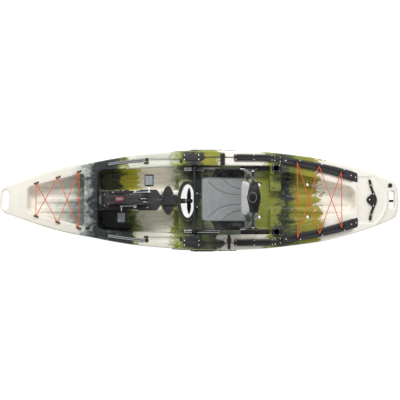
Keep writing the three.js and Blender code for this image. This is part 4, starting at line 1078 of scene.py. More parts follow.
def seat_rails(side, sign):
    keep_node(f"seat_rail_{side}", "alloy", 1.5)
    keep_node(f"rear_seat_rail_{side}", "black_plastic", 3)
    low, high = size_of(f"seat_rail_{side}")
    middle = (low.y + high.y) / 2
    slot = Shape().box((low.x + 12, middle - 5, high.z - 3), (high.x - 12, middle + 5, high.z + 0.4))
    slot.piece(f"seat_rail_slot_{side}", "black_plastic", "hull")
    screws = Shape()
    for s in (2112, 2160, high.x - 18):
        screws.screw((s, middle, high.z + 0.3), radius=4)
    screws.piece(f"seat_rail_screws_{side}", "dark_steel", "hull")
    low, high = size_of(f"rear_seat_rail_{side}")
    groove = Shape()
    for y in (low.y + 10, high.y - 10):
        groove.box((low.x + 14, y - 2, high.z - 3), (high.x - 14, y + 2, high.z + 1.6))
    groove.piece(f"rear_seat_rail_runners_{side}", "dark_plastic", "hull", bevel=0.8)


def rod_holder(side, sign):
    deck = 345
    holder = Shape()
    base = top_of(f"rod_holder_{side}", ROD_S - 40, sign * ROD_Y)
    profile = [(196, 1), (196, 27), (base - 8, 28), (base - 8, 50), (base - 2, 52), (base + 2, 48),
               (base + 5, 38), (base + 11, 34), (base + 13, 30), (base + 11, 26), (base - 2, 24),
               (204, 24), (204, 1)]
    loops = []
    for z, radius in profile:
        shift = ROD_RAKE * (deck - z) if radius < 36 else 0
        loops.append([(x, sign * y, z) for x, y in arc(ROD_S + shift, ROD_Y, radius, radius, 0, 351, 39)])
    holder.loft(loops)
    made = holder.piece(f"rod_holder_cup_{side}", "black_plastic", "hull")
    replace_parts(made, f"rod_holder_{side}")
    screws = Shape()
    for turn in (45, 135, 225, 315):
        x, y = arc(ROD_S, ROD_Y, 43, 43, turn, turn, 0)[0]
        screws.screw((x, sign * y, base + 2), radius=4)
    screws.piece(f"rod_holder_screws_{side}", "bright_steel", "hull")


each_side(front_gear_track)
each_side(accessory_plate)
each_side(side_tray)
each_side(stern_rail)
each_side(seat_rails)
each_side(rod_holder)


# ---- Bungees, their eyes and toggles ----

BOW_EYES = [(376, 168), (592, 229), (800, 286)]
STERN_EYES = [(3004, 384), (3225, 342), (3449, 284)]
CORD = 4.0


def lacing(name, eyes, body, low_node):
    """A closed zigzag of shock cord over three pairs of eyes, each strand passing over or under the other."""
    def eye(i, sign):
        s, y, z = eyes[i]
        return np.array((s, sign * y, z))
    route = [eye(0, 1), eye(0, -1), eye(1, 1), eye(2, -1), eye(2, 1), eye(1, -1)]
    weave_lift = [0, 4, 4, 0, -3, -3]
    path = []
    for i, (start, lift) in enumerate(zip(route, weave_lift)):
        end = route[(i + 1) % len(route)]
        before = route[i - 1]
        into = (before - start) / np.linalg.norm(before - start)
        away = (end - start) / np.linalg.norm(end - start)
        path += [start + into * 14, start + (into + away) * 1.5, start + away * 14]
        for share in (0.25, 0.5, 0.75):
            path.append(start + (end - start) * share + UP * lift * (1 - abs(share - 0.5) * 2))
    cord = Shape().tube(path, CORD, 10, 4, closed=True)
    made = cord.piece(name, "orange_cord", body)
    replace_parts(made, low_node)


def deck_eye(shape, place, toward):
    """A bow-tie base with a loop over the cord, turned about its place."""
    s, y, z = place
    turn = np.array((math.cos(toward), math.sin(toward)))
    side = np.array((-turn[1], turn[0]))
    outline = [(-24, -9), (-10, -5), (10, -5), (24, -9), (24, 9), (10, 5), (-10, 5), (-24, 9)]
    flat = [tuple(np.array((s, y)) + turn * u + side * v) for u, v in outline]
    shape.prism(flat, "z", z - 12, z - 5)
    loop = [(-11, -8), (-10, 2), (-5, 8), (0, 9.5), (5, 8), (10, 2), (11, -8)]
    path = [(*(np.array((s, y)) + turn * u), z + w) for u, w in loop]
    shape.tube(path, 3.0, 8, 3)


def add_bungees():
    bow = [(s, y, top_of("hull_shell", s, y) + 12) for s, y in BOW_EYES]
    stern = [(s, y, top_of("stern_rail_port", s, -y) + CORD + 4) for s, y in STERN_EYES]
    lacing("bow_shock_cord", bow, "hull", "bow_bungee")
    lacing("stern_shock_cord", stern, "hull", "stern_bungee")
    eyes = Shape()
    for s, y, z in bow + stern:
        for sign in (1, -1):
            deck_eye(eyes, (s, sign * y, z), sign * math.radians(-12 if s > 2000 else 20))
    eyes.piece("bungee_eyes", "black_plastic", "hull", bevel=1)
    for name, (s, y, z) in (("bow_toggle", bow[2]), ("stern_toggle", stern[0])):
        toggle = Shape()
        profile = [(-15, 4), (-14, 8), (-8, 10.5), (0, 8.5), (8, 10.5), (14, 8), (15, 4)]
        toggle.lathe((s, -4, z), (0, 1, 0), profile, 16)
        bend = [(s, -2, z + 6), (s - 8, 0, z + 16), (s - 20, 4, z + 15), (s - 26, 6, z + 8)]
        toggle.tube(bend, 2.2, 8, 4)
        toggle.piece(name, "orange_plastic", "hull")


def side_cord(side, sign):
    """The paddle keeper along the side, with a boot on each end and three clamps."""
    def beside(s, z):
        return (s, sign * (float(half_beam(s)) + 6), z)
    places = [(1742, 240), (1748, 262), (1760, 277), (1800, 286), (1950, 286), (2150, 286), (2340, 286),
              (2372, 277), (2386, 262), (2390, 240)]
    cord = Shape().tube([beside(s, z) for s, z in places], CORD, 10, 6)
    made = cord.piece(f"side_shock_cord_{side}", "black_cord", "hull")
    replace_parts(made, f"side_bungee_{side}")
    ends = Shape()
    for s, z in ((1742, 240), (2390, 240)):
        x, y, _ = beside(s, z)
        ends.lathe((x, y, z - 9), (0, 0, 1), [(0, 3), (2, 7), (16, 7), (22, 5)], 12)
    for s in (1812, 2232, 2330):
        x, y, _ = beside(s, 286)
        inner = y - sign * 12
        ends.box((x - 9, min(inner, y + sign * 5), 278), (x + 9, max(inner, y + sign * 5), 294))
    ends.piece(f"side_cord_fittings_{side}", "black_plastic", "hull", bevel=2)


def carry_handle(side, sign):
    body = f"carry_handle_{side}"
    y, z = sign * HANDLE_Y, HANDLE_Z
    def ribbed(share):
        middle = 1 - abs(share - 0.5) * 2
        ridge = 1.1 * math.cos(share * math.pi * 64) if middle > 0.42 else 0
        return 6.5 + 3.0 * min(middle * 2.2, 1) + ridge
    path = [(1956, z + 2), (1959, z - 12), (1972, z - 28), (2000, z - 34), (2055, z - 35),
            (2110, z - 34), (2138, z - 28), (2151, z - 12), (2154, z + 2)]
    grip = Shape().tube([(s, y, height) for s, height in path], ribbed, 14, 16)
    for s0, s1 in ((1936, 1960), (2150, 2174)):
        grip.lathe((s0, y, z), (1, 0, 0), [(0, 5), (s1 - s0, 5)], 12)
    made = grip.piece(f"carry_grip_{side}", "grip_rubber", body)
    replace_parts(made, body)


add_bungees()
each_side(side_cord)
each_side(carry_handle)


# ---- Small fittings on the hull ----

def paddle_clip():
    low, high = size_of("paddle_clip")
    middle = (low.x + high.x) / 2
    clip = Shape().prism(round_outline(low.x, high.x, low.y, high.y, 8), "z", low.z, low.z + 7)
    for y in (372, 414, 456):
        clip.box((low.x + 5, y - 3, low.z + 5), (high.x - 5, y + 3, low.z + 12))
    for y0 in (low.y + 10, 396, 438):
        path = [(middle, y0, low.z + 4), (middle, y0 - 4, low.z + 11), (middle, y0 + 8, low.z + 15),
                (middle, y0 + 22, low.z + 12), (middle, y0 + 20, low.z + 4)]
        clip.tube(path, 5, 10, 4)
    made = clip.piece("paddle_clip_body", "black_plastic", "hull", bevel=1.5)
    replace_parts(made, "paddle_clip")


def gunwale_strap():
    low, high = size_of("gunwale_strap")
    strap = Shape()
    loops = []
    for y in np.linspace(low.y, high.y, 19):
        top = top_of("gunwale_strap", 2316, min(max(y, low.y + 1), high.y - 1))
        ripple = 0.8 * math.sin(y * 0.11)
        loops.append([(low.x, y, top - 3), (low.x, y, top + ripple), (high.x, y, top + ripple),
                      (high.x, y, top - 3)])
    strap.loft(loops)
    made = strap.piece("gunwale_webbing", "webbing", "hull", bevel=0.5)
    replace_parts(made, "gunwale_strap")
    buckle = Shape()
    z = top_of("gunwale_strap", 2316, -410)
    buckle.prism(round_outline(2296, 2336, -428, -392, 7), "z", z - 1, z + 6)
    buckle.box((2301, -420, z + 5), (2331, -414, z + 9))
    buckle.box((2301, -406, z + 5), (2331, -400, z + 9))
    buckle.piece("gunwale_buckle", "black_plastic", "hull", bevel=1.5)


def drain_plug():
    low, high = size_of("drain_plug")
    keep_node("drain_plug", "black_plastic", 1.5)
    middle = (low + high) / 2
    bar = Shape().box((middle.x - 14, middle.y - 3, high.z - 1), (middle.x + 14, middle.y + 3, high.z + 5))
    bar.piece("drain_plug_bar", "black_plastic", "hull", bevel=1.5)


def transducer_cover():
    cover = Shape()
    stations = [2235, 2239, 2247, 2260, 2280, 2310, 2400, 2470, 2488]
    loops = []
    for s in stations:
        half = 75 * math.sqrt(1 - (min(s - 2310, 0) / 76) ** 2) if s < 2310 else 75
        top = float(keel(s)) - 0.8
        loops.append([(s, -half, top), (s, -half, top - 4), (s, half, top - 4), (s, half, top)])
    cover.loft(loops)
    inner = [(2440, 40), *arc(2320, 0, 46, 40, 90, 270, 10), (2440, -40), (2440, -30),
             *arc(2320, 0, 34, 30, 270, 90, 10), (2440, 30)]
    cover.prism(inner, "z", 18, 26)
    made = cover.piece("transducer_pod", "black_plastic", "hull", bevel=1)
    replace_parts(made, "transducer_cover")
    screws = Shape()
    for s, y in ((2252, 0), (2390, 62), (2390, -62), (2465, 62), (2465, -62)):
        screws.screw((s, y, float(keel(s)) - 4.6), axis=(0, 0, -1), radius=5.6)
    screws.piece("transducer_pod_screws", "bright_steel", "hull")


def hull_trim():
    """Small black tabs at the ends of the gunwale pockets and a thin keeper line along each gunwale."""
    for side, sign in SIDES.items():
        tabs = Shape()
        top = top_of("hull_shell", 1480, sign * 385)
        tabs.prism(mirror(round_outline(1455, 1500, 366, 384, 5), sign), "z", top - 5, top + 7)
        top = top_of("hull_shell", 1700, sign * 397)
        tabs.prism(mirror(round_outline(1820, 1842, 380, 412, 5), sign), "z", top - 5, top + 6)
        tabs.piece(f"gunwale_tabs_{side}", "black_plastic", "hull", bevel=2)
        line = Shape()
        places = [(2058, 433), (2120, 436), (2200, 437), (2290, 436), (2380, 434)]
        path = [(s, sign * y, top_of("hull_shell", s, sign * y) + 4) for s, y in places]
        line.tube(path, 2.5, 8, 4)
        line.piece(f"gunwale_line_{side}", "black_cord", "hull")
    hook = Shape()
    z = top_of("hull_shell", 884, -284)
    hook.prism(round_outline(868, 908, -296, -276, 6), "z", z - 4, z + 5)
    bend = [(884, -286, z + 3), (882, -286, z + 12), (892, -286, z + 16), (902, -286, z + 10)]
    hook.tube(bend, 3.2, 8, 4)
    hook.piece("bow_hook", "black_plastic", "hull", bevel=1.5)
    holes = Shape()
    for s, y in ((3929, 128), (3929, -128), (4008, 112), (4008, -112)):
        z = top_of("hull_shell", s, y)
        holes.lathe((s, y, z - 3), (0, 0, 1), [(0, 8), (3.6, 8.5), (4.6, 7), (4.6, 4), (3, 3)], 20)
    holes.piece("stern_inserts", "black_plastic", "hull")
    shoe = Shape()
    low, high = size_of("skeg_shoe")
    for s in (low.x + 30, high.x - 30):
        shoe.screw((s, 31.0, 6), axis=(0, 1, 0), radius=4)
        shoe.screw((s, -31.0, 6), axis=(0, -1, 0), radius=4)
    shoe.piece("skeg_shoe_screws", "bright_steel", "hull")
    keep_node("skeg_shoe", "black_plastic", 3)


paddle_clip()
gunwale_strap()
drain_plug()
transducer_cover()
hull_trim()


# ---- Pedal drive ----

CRANK = (1380, 546)
JACK = (1151, 508)
CASE_HALF = 36
BIG_LOBE, SMALL_LOBE = 130, 62
FOLD_HINGE = 1151
PROP_HEIGHT = 84  # of the propeller's axis and of the folding unit's tube
BLADE_MIDDLE = 1906


def case_outline(inset):
    """The housing from the side: a small lobe over the vertical shaft and a large one round the crank."""
    tangent = 116.5
    return [
        (1098 + inset, 375 + inset),
        *arc(*JACK, SMALL_LOBE - inset, SMALL_LOBE - inset, 190, tangent, 12),
        *arc(*CRANK, BIG_LOBE - inset, BIG_LOBE - inset, tangent, -60, 36), (1425 - inset, 415),
        (1425 - inset, 375 + inset),
    ]


def slope_height(s):
    """The height of the housing's straight back between its two lobes."""
    return float(np.interp(s, (1124, 1323), (563.5, 662.5)))


def case_cover(side, sign):
    """A domed cover over the housing's big lobe, cut off above the window, and a small one at the front."""
    outline = arc(0, 0, 116, 116, -40, 220, 44)
    dome = Shape()
    loops = []
    for out, share in ((-2, 1), (5, 1), (9, 0.97), (13, 0.88), (16, 0.72), (17, 0.5), (17.5, 0.24)):
        loops.append([
            (CRANK[0] + u * share, sign * (CASE_HALF + out), CRANK[1] + v * share) for u, v in outline
        ])
    dome.loft(loops)
    jack = (JACK[0], sign * (CASE_HALF - 1), JACK[1])
    dome.lathe(jack, (0, sign, 0), [(0, 47), (4, 47), (7, 43), (9, 32), (9.5, 14), (8, 11)], 40)
    dome.piece(f"case_cover_{side}", "dark_plastic", "hull", bevel=1)
    rim = Shape()
    path = [(CRANK[0] + u * 0.6, sign * (CASE_HALF + 16.4), CRANK[1] + v * 0.6) for u, v in outline]
    rim.tube(path, 2.2, 8, 1, closed=True)
    rim.piece(f"case_cover_rim_{side}", "black_plastic", "hull")


def case_skins():
    """Covers, a flared foot, bolts and a window frame on each half of the drive housing."""
    for side, sign in SIDES.items():
        keep_node(f"drive_case_{side}", "dark_plastic", 3)
        case_cover(side, sign)
        skirt = Shape()
        section = [(CASE_HALF - 3, 398), (CASE_HALF + 2, 396), (CASE_HALF + 10, 382),
                   (CASE_HALF + 10, 374.5), (CASE_HALF - 3, 374.5)]
        skirt.prism(mirror_first(section, sign), "x", 1104, 1419)
        skirt.piece(f"case_skirt_{side}", "dark_plastic", "hull", bevel=2)
        bolts = Shape()
        for turn in (8, 58, 106, 190):
            s, z = arc(*CRANK, 123, 123, turn, turn, 0)[0]
            bolts.screw((s, sign * (CASE_HALF - 0.6), z), (0, sign, 0), 4.2)
        for s, z in ((1108, 410), (1108, 536), (1206, 405), (1180, 560), (1401, 405)):
            bolts.screw((s, sign * (CASE_HALF - 0.6), z), (0, sign, 0), 4.2)
        bolts.piece(f"case_bolts_{side}", "bright_steel", "hull")
        pane = Shape()
        window = round_outline(1289, 1379, 421, 463, 15, 4)
        frame_path = [(u, sign * (CASE_HALF - 0.5), v) for u, v in window]
        pane.tube(frame_path, 3, 8, 1, closed=True)
        pane.piece(f"case_window_frame_{side}", "pale_plastic", "hull")


def case_seam():
    """The gasket between the halves, a pad on the housing's back and a small tab on its port edge."""
    seam = Shape()
    path = [(s, 0, z) for s, z in case_outline(-1.6)[1:-2]]
    seam.tube(path, 2.4, 8, 1)
    seam.piece("case_gasket", "belt_rubber", "hull")
    pad = Shape()
    loops = []
    for s in (1134, 1184):
        z = slope_height(s)
        loops.append([(s, -14, z - 3), (s, -14, z + 4.5), (s, 14, z + 4.5), (s, 14, z - 3)])
    pad.loft(loops)
    pad.piece("case_back_pad", "black_plastic", "hull", bevel=2)
    tab = Shape().prism(round_outline(1132, 1168, -42, -29, 4), "z", 552, 566)
    tab.piece("case_tab", "orange_plastic", "hull", bevel=1.5)


def case_badge():
    """A plain badge on the housing's back, pointed at its aft end: a red border round a pale middle."""
    def plate(shape, front, back, half, low, high):
        outline = [(front, -half), (back - 1.4 * half, -half), (back, 0), (back - 1.4 * half, half),
                   (front, half)]
        shape.loft([[(s, y, slope_height(s) + up) for s, y in outline] for up in (low, high)])
    border = Shape()
    plate(border, 1193, 1290, 20, -2, 6)
    border.piece("case_badge_border", "red_metal", "hull", bevel=1.2)
    middle = Shape()
    plate(middle, 1201, 1275, 12, 5, 7)
    middle.piece("case_badge_middle", "pale_plastic", "hull", bevel=0.5)


def crank_set():
    for side, sign in SIDES.items():
        arm = f"crank_arm_{side}"
        angle = math.radians(38)
        end = (CRANK[0] + sign * 185 * math.cos(angle), CRANK[1] + sign * 185 * math.sin(angle))
        inner, outer = 58.2, 71.8
        ahead = np.array((sign * math.cos(angle), sign * math.sin(angle)))
        up = np.array((-ahead[1], ahead[0]))
        body = Shape()
        loops = []
        for share, half, thick in ((0.0, 19, 1.0), (0.08, 18.5, 1.0), (0.2, 14, 0.92),
                                   (0.5, 11.5, 0.78), (0.8, 11, 0.82), (0.93, 13.5, 0.95),
                                   (1.0, 14, 1.0)):
            centre = np.array(CRANK) + (np.array(end) - CRANK) * share
            middle = (inner + outer) / 2
            depth = (outer - inner) / 2 * thick
            ring = []
            for u, v in arc(0, 0, 1, 1, 0, 340, 17):
                edge = np.sign(u) * abs(u) ** 0.6, np.sign(v) * abs(v) ** 0.6
                flat = centre + up * half * edge[0]
                ring.append((flat[0], sign * (middle + depth * edge[1]), flat[1]))
            loops.append(ring)
        body.loft(loops)
        for centre, radius in ((CRANK, 20), (end, 15)):
            body.lathe((centre[0], sign * inner, centre[1]), (0, sign, 0),
                       [(0, radius - 1), (1, radius), (outer - inner - 1, radius),
                        (outer - inner, radius - 1)], 36)
        made = body.piece(arm + "_forged", "forged_alloy", "crank", bevel=0.6)
        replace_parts(made, arm)
        cap = Shape()
        cap.lathe((CRANK[0], sign * (outer - 1.5), CRANK[1]), (0, sign, 0),
                  [(0, 15), (11, 15), (14, 13), (15, 9), (15, 5), (12, 4)], 30)
        cap.piece(f"crank_bolt_{side}", "bright_steel", "crank")
        ring = Shape()
        ring.lathe((CRANK[0], sign * (CASE_HALF + 17.8), CRANK[1]), (0, sign, 0),
                   [(0, 22), (0.8, 23), (4, 23)], 36)
        ring.piece(f"crank_ring_{side}", "red_metal", "crank")


def pedals():
    """A ribbed tread in a dark frame, with the axle and its end cap."""
    y0, y1 = 122.5, 235.5
    half, thick = 43.5, 12.5
    for side, sign in SIDES.items():
        node = f"pedal_{side}"
        low, high = size_of(node)
        s, z = (low.x + high.x) / 2, (low.z + high.z) / 2
        rim = Shape()
        for a, b in ((y0, y0 + 13), (y1 - 13, y1)):
            outline = round_outline(s - half, s + half, z - thick, z + thick, 9, 4)
            rim.prism(outline, "y", *sorted((sign * a, sign * b)))
        near, far = sorted((sign * y0, sign * y1))
        for lead in (-1, 1):
            a, b = sorted((s + lead * (half - 8), s + lead * half))
            rim.box((a, near, z - 9), (b, far, z + 9))
        rim.lathe((s, sign * (y0 + 1), z), (0, sign, 0), [(0, 9.5), (111, 9.5)], 24)
        rim.lathe((s, sign * (y1 - 1), z), (0, sign, 0), [(0, 9), (1, 9), (1, 4), (-1, 3)], 24)
        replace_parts(rim.piece(f"pedal_frame_{side}", "black_plastic", node, bevel=1.5), node)
        tread = Shape()
        near, far = sorted((sign * (y0 + 12), sign * (y1 - 12)))
        tread.box((s - 36, near, z - 9), (s + 36, far, z + 9))
        for a in np.linspace(s - 34, s + 28, 8):
            tread.box((a, near, z - 12), (a + 6, far, z + 12))
        tread.piece(f"pedal_tread_{side}", "tread_rubber", node, bevel=1)
        axle = Shape()
        axle.lathe((s, sign * 72.4, z), (0, sign, 0),
                   [(0, 9), (3, 9), (3.5, 7), (8, 7), (8.5, 8.5), (14, 8.5), (14.5, 6.5), (52, 6.5)], 24)
        axle.piece(f"pedal_axle_{side}", "bright_steel", node)


def console():
    """The base that the drive stands on: a plate with raised sides, a hook plate and screws."""
    keep_node("drive_console", "dark_plastic", 5)
    keep_node("drive_pedestal", "black_plastic", 4)
    trim = Shape()
    for sign in (1, -1):
        y0, y1 = sorted((sign * 62, sign * 92))
        outline = [(1100, 340), (1530, 340), (1510, 349), (1120, 352), (1108, 349)]
        trim.prism(outline, "y", y0, y1)
    trim.piece("console_side_pads", "black_plastic", "hull", bevel=3)
    cover = Shape().box((1608, -52, 322.4), (1637, 52, 330))
    cover.piece("spine_cover", "black_plastic", "hull", bevel=2)
    steps = Shape()
    for s in (1538, 1547):
        steps.box((s, -84, 324), (s + 5, 84, 334))
    for s0, s1, z1 in ((1444, 1452, 371), (1460, 1468, 366), (1476, 1484, 361)):
        steps.box((s0, -40, 345), (s1, 40, z1))
    steps.piece("console_steps", "dark_plastic", "hull", bevel=1.5)
    screws = Shape()
    places = ((1242, 92), (1480, 84), (1204, -84), (1394, -84), (1050, 55), (1050, -55), (1140, 77),
              (1490, -77))
    for s, y in places:
        base = top_of("drive_console", s, y)
        covered = 62 < abs(y) < 92 and 1108 < s < 1520
        screws.screw((s, y, base + (8.6 if covered else 0)), radius=6.8)
    for s, y in ((1098, 42), (1098, -42), (1432, 42), (1432, -42)):
        screws.screw((s, y, 374.2), radius=6.3)
    screws.piece("console_screws", "bright_steel", "hull")
    rods = Shape()
    routes = (
        (0, [(1428, 670), (1470, 652), (1508, 606), (1525, 546), (1545, 470), (1586, 392), (1656, 340)]),
        (-29, [(1450, 664), (1486, 640), (1514, 596), (1526, 546), (1532, 500)]),
    )
    for y, route in routes:
        rods.tube([(s, y, z) for s, z in route], 4.5 if y == 0 else 6, 12, 5)
    rods.piece("console_rods", "alloy", "hull")
    collars = Shape()
    for y, s, z, radius in ((0, 1436, 667, 8), (0, 1640, 352, 8), (-29, 1458, 659, 10)):
        collars.lathe((s, y, z), (1, 0, -0.55),
                      [(-9, radius - 2), (-8, radius), (8, radius), (9, radius - 2)], 20)
    collars.piece("console_rod_collars", "black_plastic", "hull")


def latch():
    """The bail over the drive's front, with a metal edge and a rubber grip."""
    s, z = 1040, 354
    path = [(0, -70, 0), (-6, -72, 30), (-14, -66, 58), (-20, -46, 72), (-22, 0, 74), (-20, 46, 72),
            (-14, 66, 58), (-6, 72, 30), (0, 70, 0)]
    bail = Shape().tube([(s + a, y, z + c) for a, y, c in path], 6.8, 14, 10)
    bail.lathe((s, -93.5, z), (0, 1, 0), [(0, 5), (1, 5.8), (186, 5.8), (187, 5)], 20)
    made = bail.piece("latch_bail", "black_plastic", "drive_latch")
    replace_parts(made, "drive_latch")
    grip = Shape()
    def bumps(share):
        return 8.6 + 0.7 * math.cos(share * math.pi * 22)
    grip.tube([(s - 20, -42, z + 72.4), (s - 22, 0, z + 74), (s - 20, 42, z + 72.4)], bumps, 14, 40)
    grip.piece("latch_grip", "grey_rubber", "drive_latch")
    caps = Shape()
    for sign in (1, -1):
        caps.lathe((s, sign * 93, z), (0, sign, 0), [(0, 8.5), (1.8, 8.5), (2.6, 6.5)], 20)
    caps.piece("latch_pin_caps", "bright_steel", "drive_latch")


def drive_train():
    for name, finish in (("drive_belt", "belt_rubber"), ("chainring", "alloy"), ("jackshaft", "alloy"),
                         ("vertical_shaft", "alloy")):
        keep_node(name, finish, 0.6)
    keep_node("drive_leg", "black_alloy", 2.5)


def lower_gear():
    """The folding unit under the hull: gear housing, tube, seals and the propeller."""
    unit = Shape()
    z = PROP_HEIGHT
    unit.lathe((FOLD_HINGE, -30.4, z), (0, 1, 0),
               [(0, 20), (2, 26), (6, 29), (54.8, 29), (58.8, 26), (60.8, 20)], 48)
    unit.lathe((FOLD_HINGE, -37.8, z), (0, 1, 0), [(0, 7.8), (75.6, 7.8)], 24)
    unit.lathe((1162, 0, z), (1, 0, 0), [(0, 24), (30, 24.5), (52, 22), (628, 21.5), (640, 24),
                                         (655, 26), (700, 26), (708, 24), (711, 17)], 40)
    made = unit.piece("lower_unit_body", "black_alloy", "lower_unit", bevel=0.8)
    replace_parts(made, "lower_unit")
    bands_shape = Shape()
    for s in (1225, 1780, 1797):
        bands_shape.lathe((s, 0, z), (1, 0, 0), [(0, 24), (1, 26.4), (9, 26.4), (10, 24)], 40)
    bands_shape.piece("lower_unit_bands", "bright_steel", "lower_unit")
    bolts = Shape()
    for sign in (1, -1):
        bolts.screw((FOLD_HINGE, sign * 37.6, z), (0, sign, 0), 7.2)
        for turn in range(0, 360, 60):
            s, up = arc(FOLD_HINGE, z, 22, 22, turn, turn, 0)[0]
            bolts.screw((s, sign * 30.0, up), (0, sign, 0), 3)
    bolts.piece("lower_unit_bolts", "bright_steel", "lower_unit")


BLADE_ROWS = [(14, 34, 62, 9), (30, 50, 54, 9), (50, 62, 46, 8), (72, 67, 39, 7), (95, 66, 32, 6),
              (112, 57, 28, 5), (125, 46, 25, 4), (133, 32, 23, 3.4), (137.5, 16, 22, 2.6)]


def blade(shape, sign):
    loops = []
    for radius, chord, pitch, thick in BLADE_ROWS:
        turn = math.radians(pitch)
        ring = []
        for a, b in arc(0, 0, chord / 2, thick / 2, 0, 345, 23):
            along = a * math.sin(turn) - b * math.cos(turn)
            across = a * math.cos(turn) + b * math.sin(turn)
            ring.append((BLADE_MIDDLE + along, sign * radius, PROP_HEIGHT + sign * across))
        loops.append(ring)
    shape.loft(loops)


def propeller():
    prop = Shape()
    blade(prop, 1)
    blade(prop, -1)
    prop.lathe((1876.4, 0, PROP_HEIGHT), (1, 0, 0),
               [(0, 20), (2, 25), (8, 27), (34, 27), (52, 24), (63, 17), (69, 8)], 40)
    made = prop.piece("propeller_moulding", "black_plastic", "propeller", bevel=0.6)
    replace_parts(made, "propeller")


def well_trim():
    ring = Shape()
    loops = []
    z = size_of("prop_well_ring")[0].z
    half_length, half_width = PROP_WELL_HOLE
    rows = ((3, 2.5), (3, 8), (7, 10), (26, 10), (30, 6), (30.5, 0.3))
    turns = np.radians(np.arange(0, 360, 5))
    for turn in turns:
        c, n = math.cos(turn), math.sin(turn)
        loops.append([
            (PROP_WELL + (half_length + grow) * c, (half_width + grow) * n, z + up)
            for grow, up in rows + ((3, 0.3),)
        ])
    ring.loft(loops, closed=True)
    made = ring.piece("prop_ring", "gloss_black", "hull")
    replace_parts(made, "prop_well_ring")
    keep_node("shaft_cover", "black_plastic", 5)
    bolts = Shape()
    for sign in (1, -1):
        for s, y in ((1660, 100), (1728, 100), (1694, 140)):
            bolts.screw((s, sign * y, 252.6), radius=6.3)
    for s, y in ((1654, 36), (1766, 36), (1654, -36), (1766, -36)):
        bolts.screw((s, y, 270.6), radius=4)
    bolts.piece("shaft_cover_screws", "dark_steel", "hull")
    plate = Shape()
    plate.prism(round_outline(1664, 1756, -34, 34, 10), "z", 268, 275)
    for y in (-22, -8, 8, 22):
        plate.box((1674, y - 2, 272), (1746, y + 2, 279))
    plate.lathe((1736, 44, 262), (0, 0, 1), [(0, 15), (10, 15), (13, 12), (14, 8)], 28)
    plate.piece("shaft_cover_ribs", "dark_plastic", "hull", bevel=1.2)


case_skins()
case_seam()
case_badge()
crank_set()
pedals()
console()
latch()
drive_train()
lower_gear()
propeller()
well_trim()


# ---- Seat ----

SEAT_PATH = [
    (1962, 320, 302), (1990, 316, 350), (2030, 308, 452), (2064, 299, 524), (2114, 292, 567),
    (2187, 290, 574), (2300, 290, 549), (2430, 290, 514), (2535, 290, 484), (2580, 294, 440),
    (2598, 306, 370), (2606, 318, 306),
]
LEG_PATH = [
    (2206, 285, 562), (2209, 274, 520), (2212, 268, 400), (2216, 264, 250), (2260, 262, 218),
    (2310, 264, 250), (2314, 268, 400), (2317, 274, 500), (2320, 285, 536),
]
BACK_PATH = [
    (2548, 262, 498), (2527, 262, 545), (2506, 252, 604), (2492, 228, 740), (2494, 208, 864),
    (2512, 186, 925), (2534, 120, 942),
]
BACK_HINGE = (2548, 498)
SLING = [(2034, 545), (2044, 558), (2056, 562), (2070, 558), (2100, 551), (2150, 546), (2200, 532),
         (2340, 492), (2470, 452)]


def sided(path, sign):
    return [(s, sign * y, z) for s, y, z in path]


def seat_frame():
    for side, sign in SIDES.items():
        tube = Shape().tube(sided(SEAT_PATH, sign), 12.9, 20, 6)
        made = tube.piece(f"seat_side_tube_{side}", "black_alloy", "seat", bevel=1)
        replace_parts(made, f"seat_tube_{side}")
        leg = Shape().tube(sided(LEG_PATH, sign), 8.9, 16, 6)
        made = leg.piece(f"seat_hoop_{side}", "black_alloy", "seat")
        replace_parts(made, f"seat_leg_{side}")
    for name, s, z, half in (("seat_front_bar", 2048, 540, 278), ("seat_foot_bar", 1966, 362, 338),
                             ("seat_rear_bar", 2552, 452, 272)):
        bar = Shape().lathe((s, -half, z), (0, 1, 0),
                            [(0, 8), (2, 10.8), (2 * half - 2, 10.8), (2 * half, 8)], 24)
        made = bar.piece(name + "_tube", "black_alloy", "seat")
        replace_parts(made, name)
    half = sided(BACK_PATH, 1)
    arch = half + [(2540, 0, 946)] + sided(BACK_PATH, -1)[::-1]
    frame_tube = Shape().tube(arch, 10.9, 20, 6)
    for sign in (1, -1):
        frame_tube.lathe((BACK_HINGE[0], sign * 254, BACK_HINGE[1]), (0, sign, 0),
                         [(0, 12), (1.5, 14), (18.5, 14), (20, 12)], 28)
    made = frame_tube.piece("back_frame_tube", "black_alloy", "seat_back", bevel=0.8)
    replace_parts(made, "back_frame")


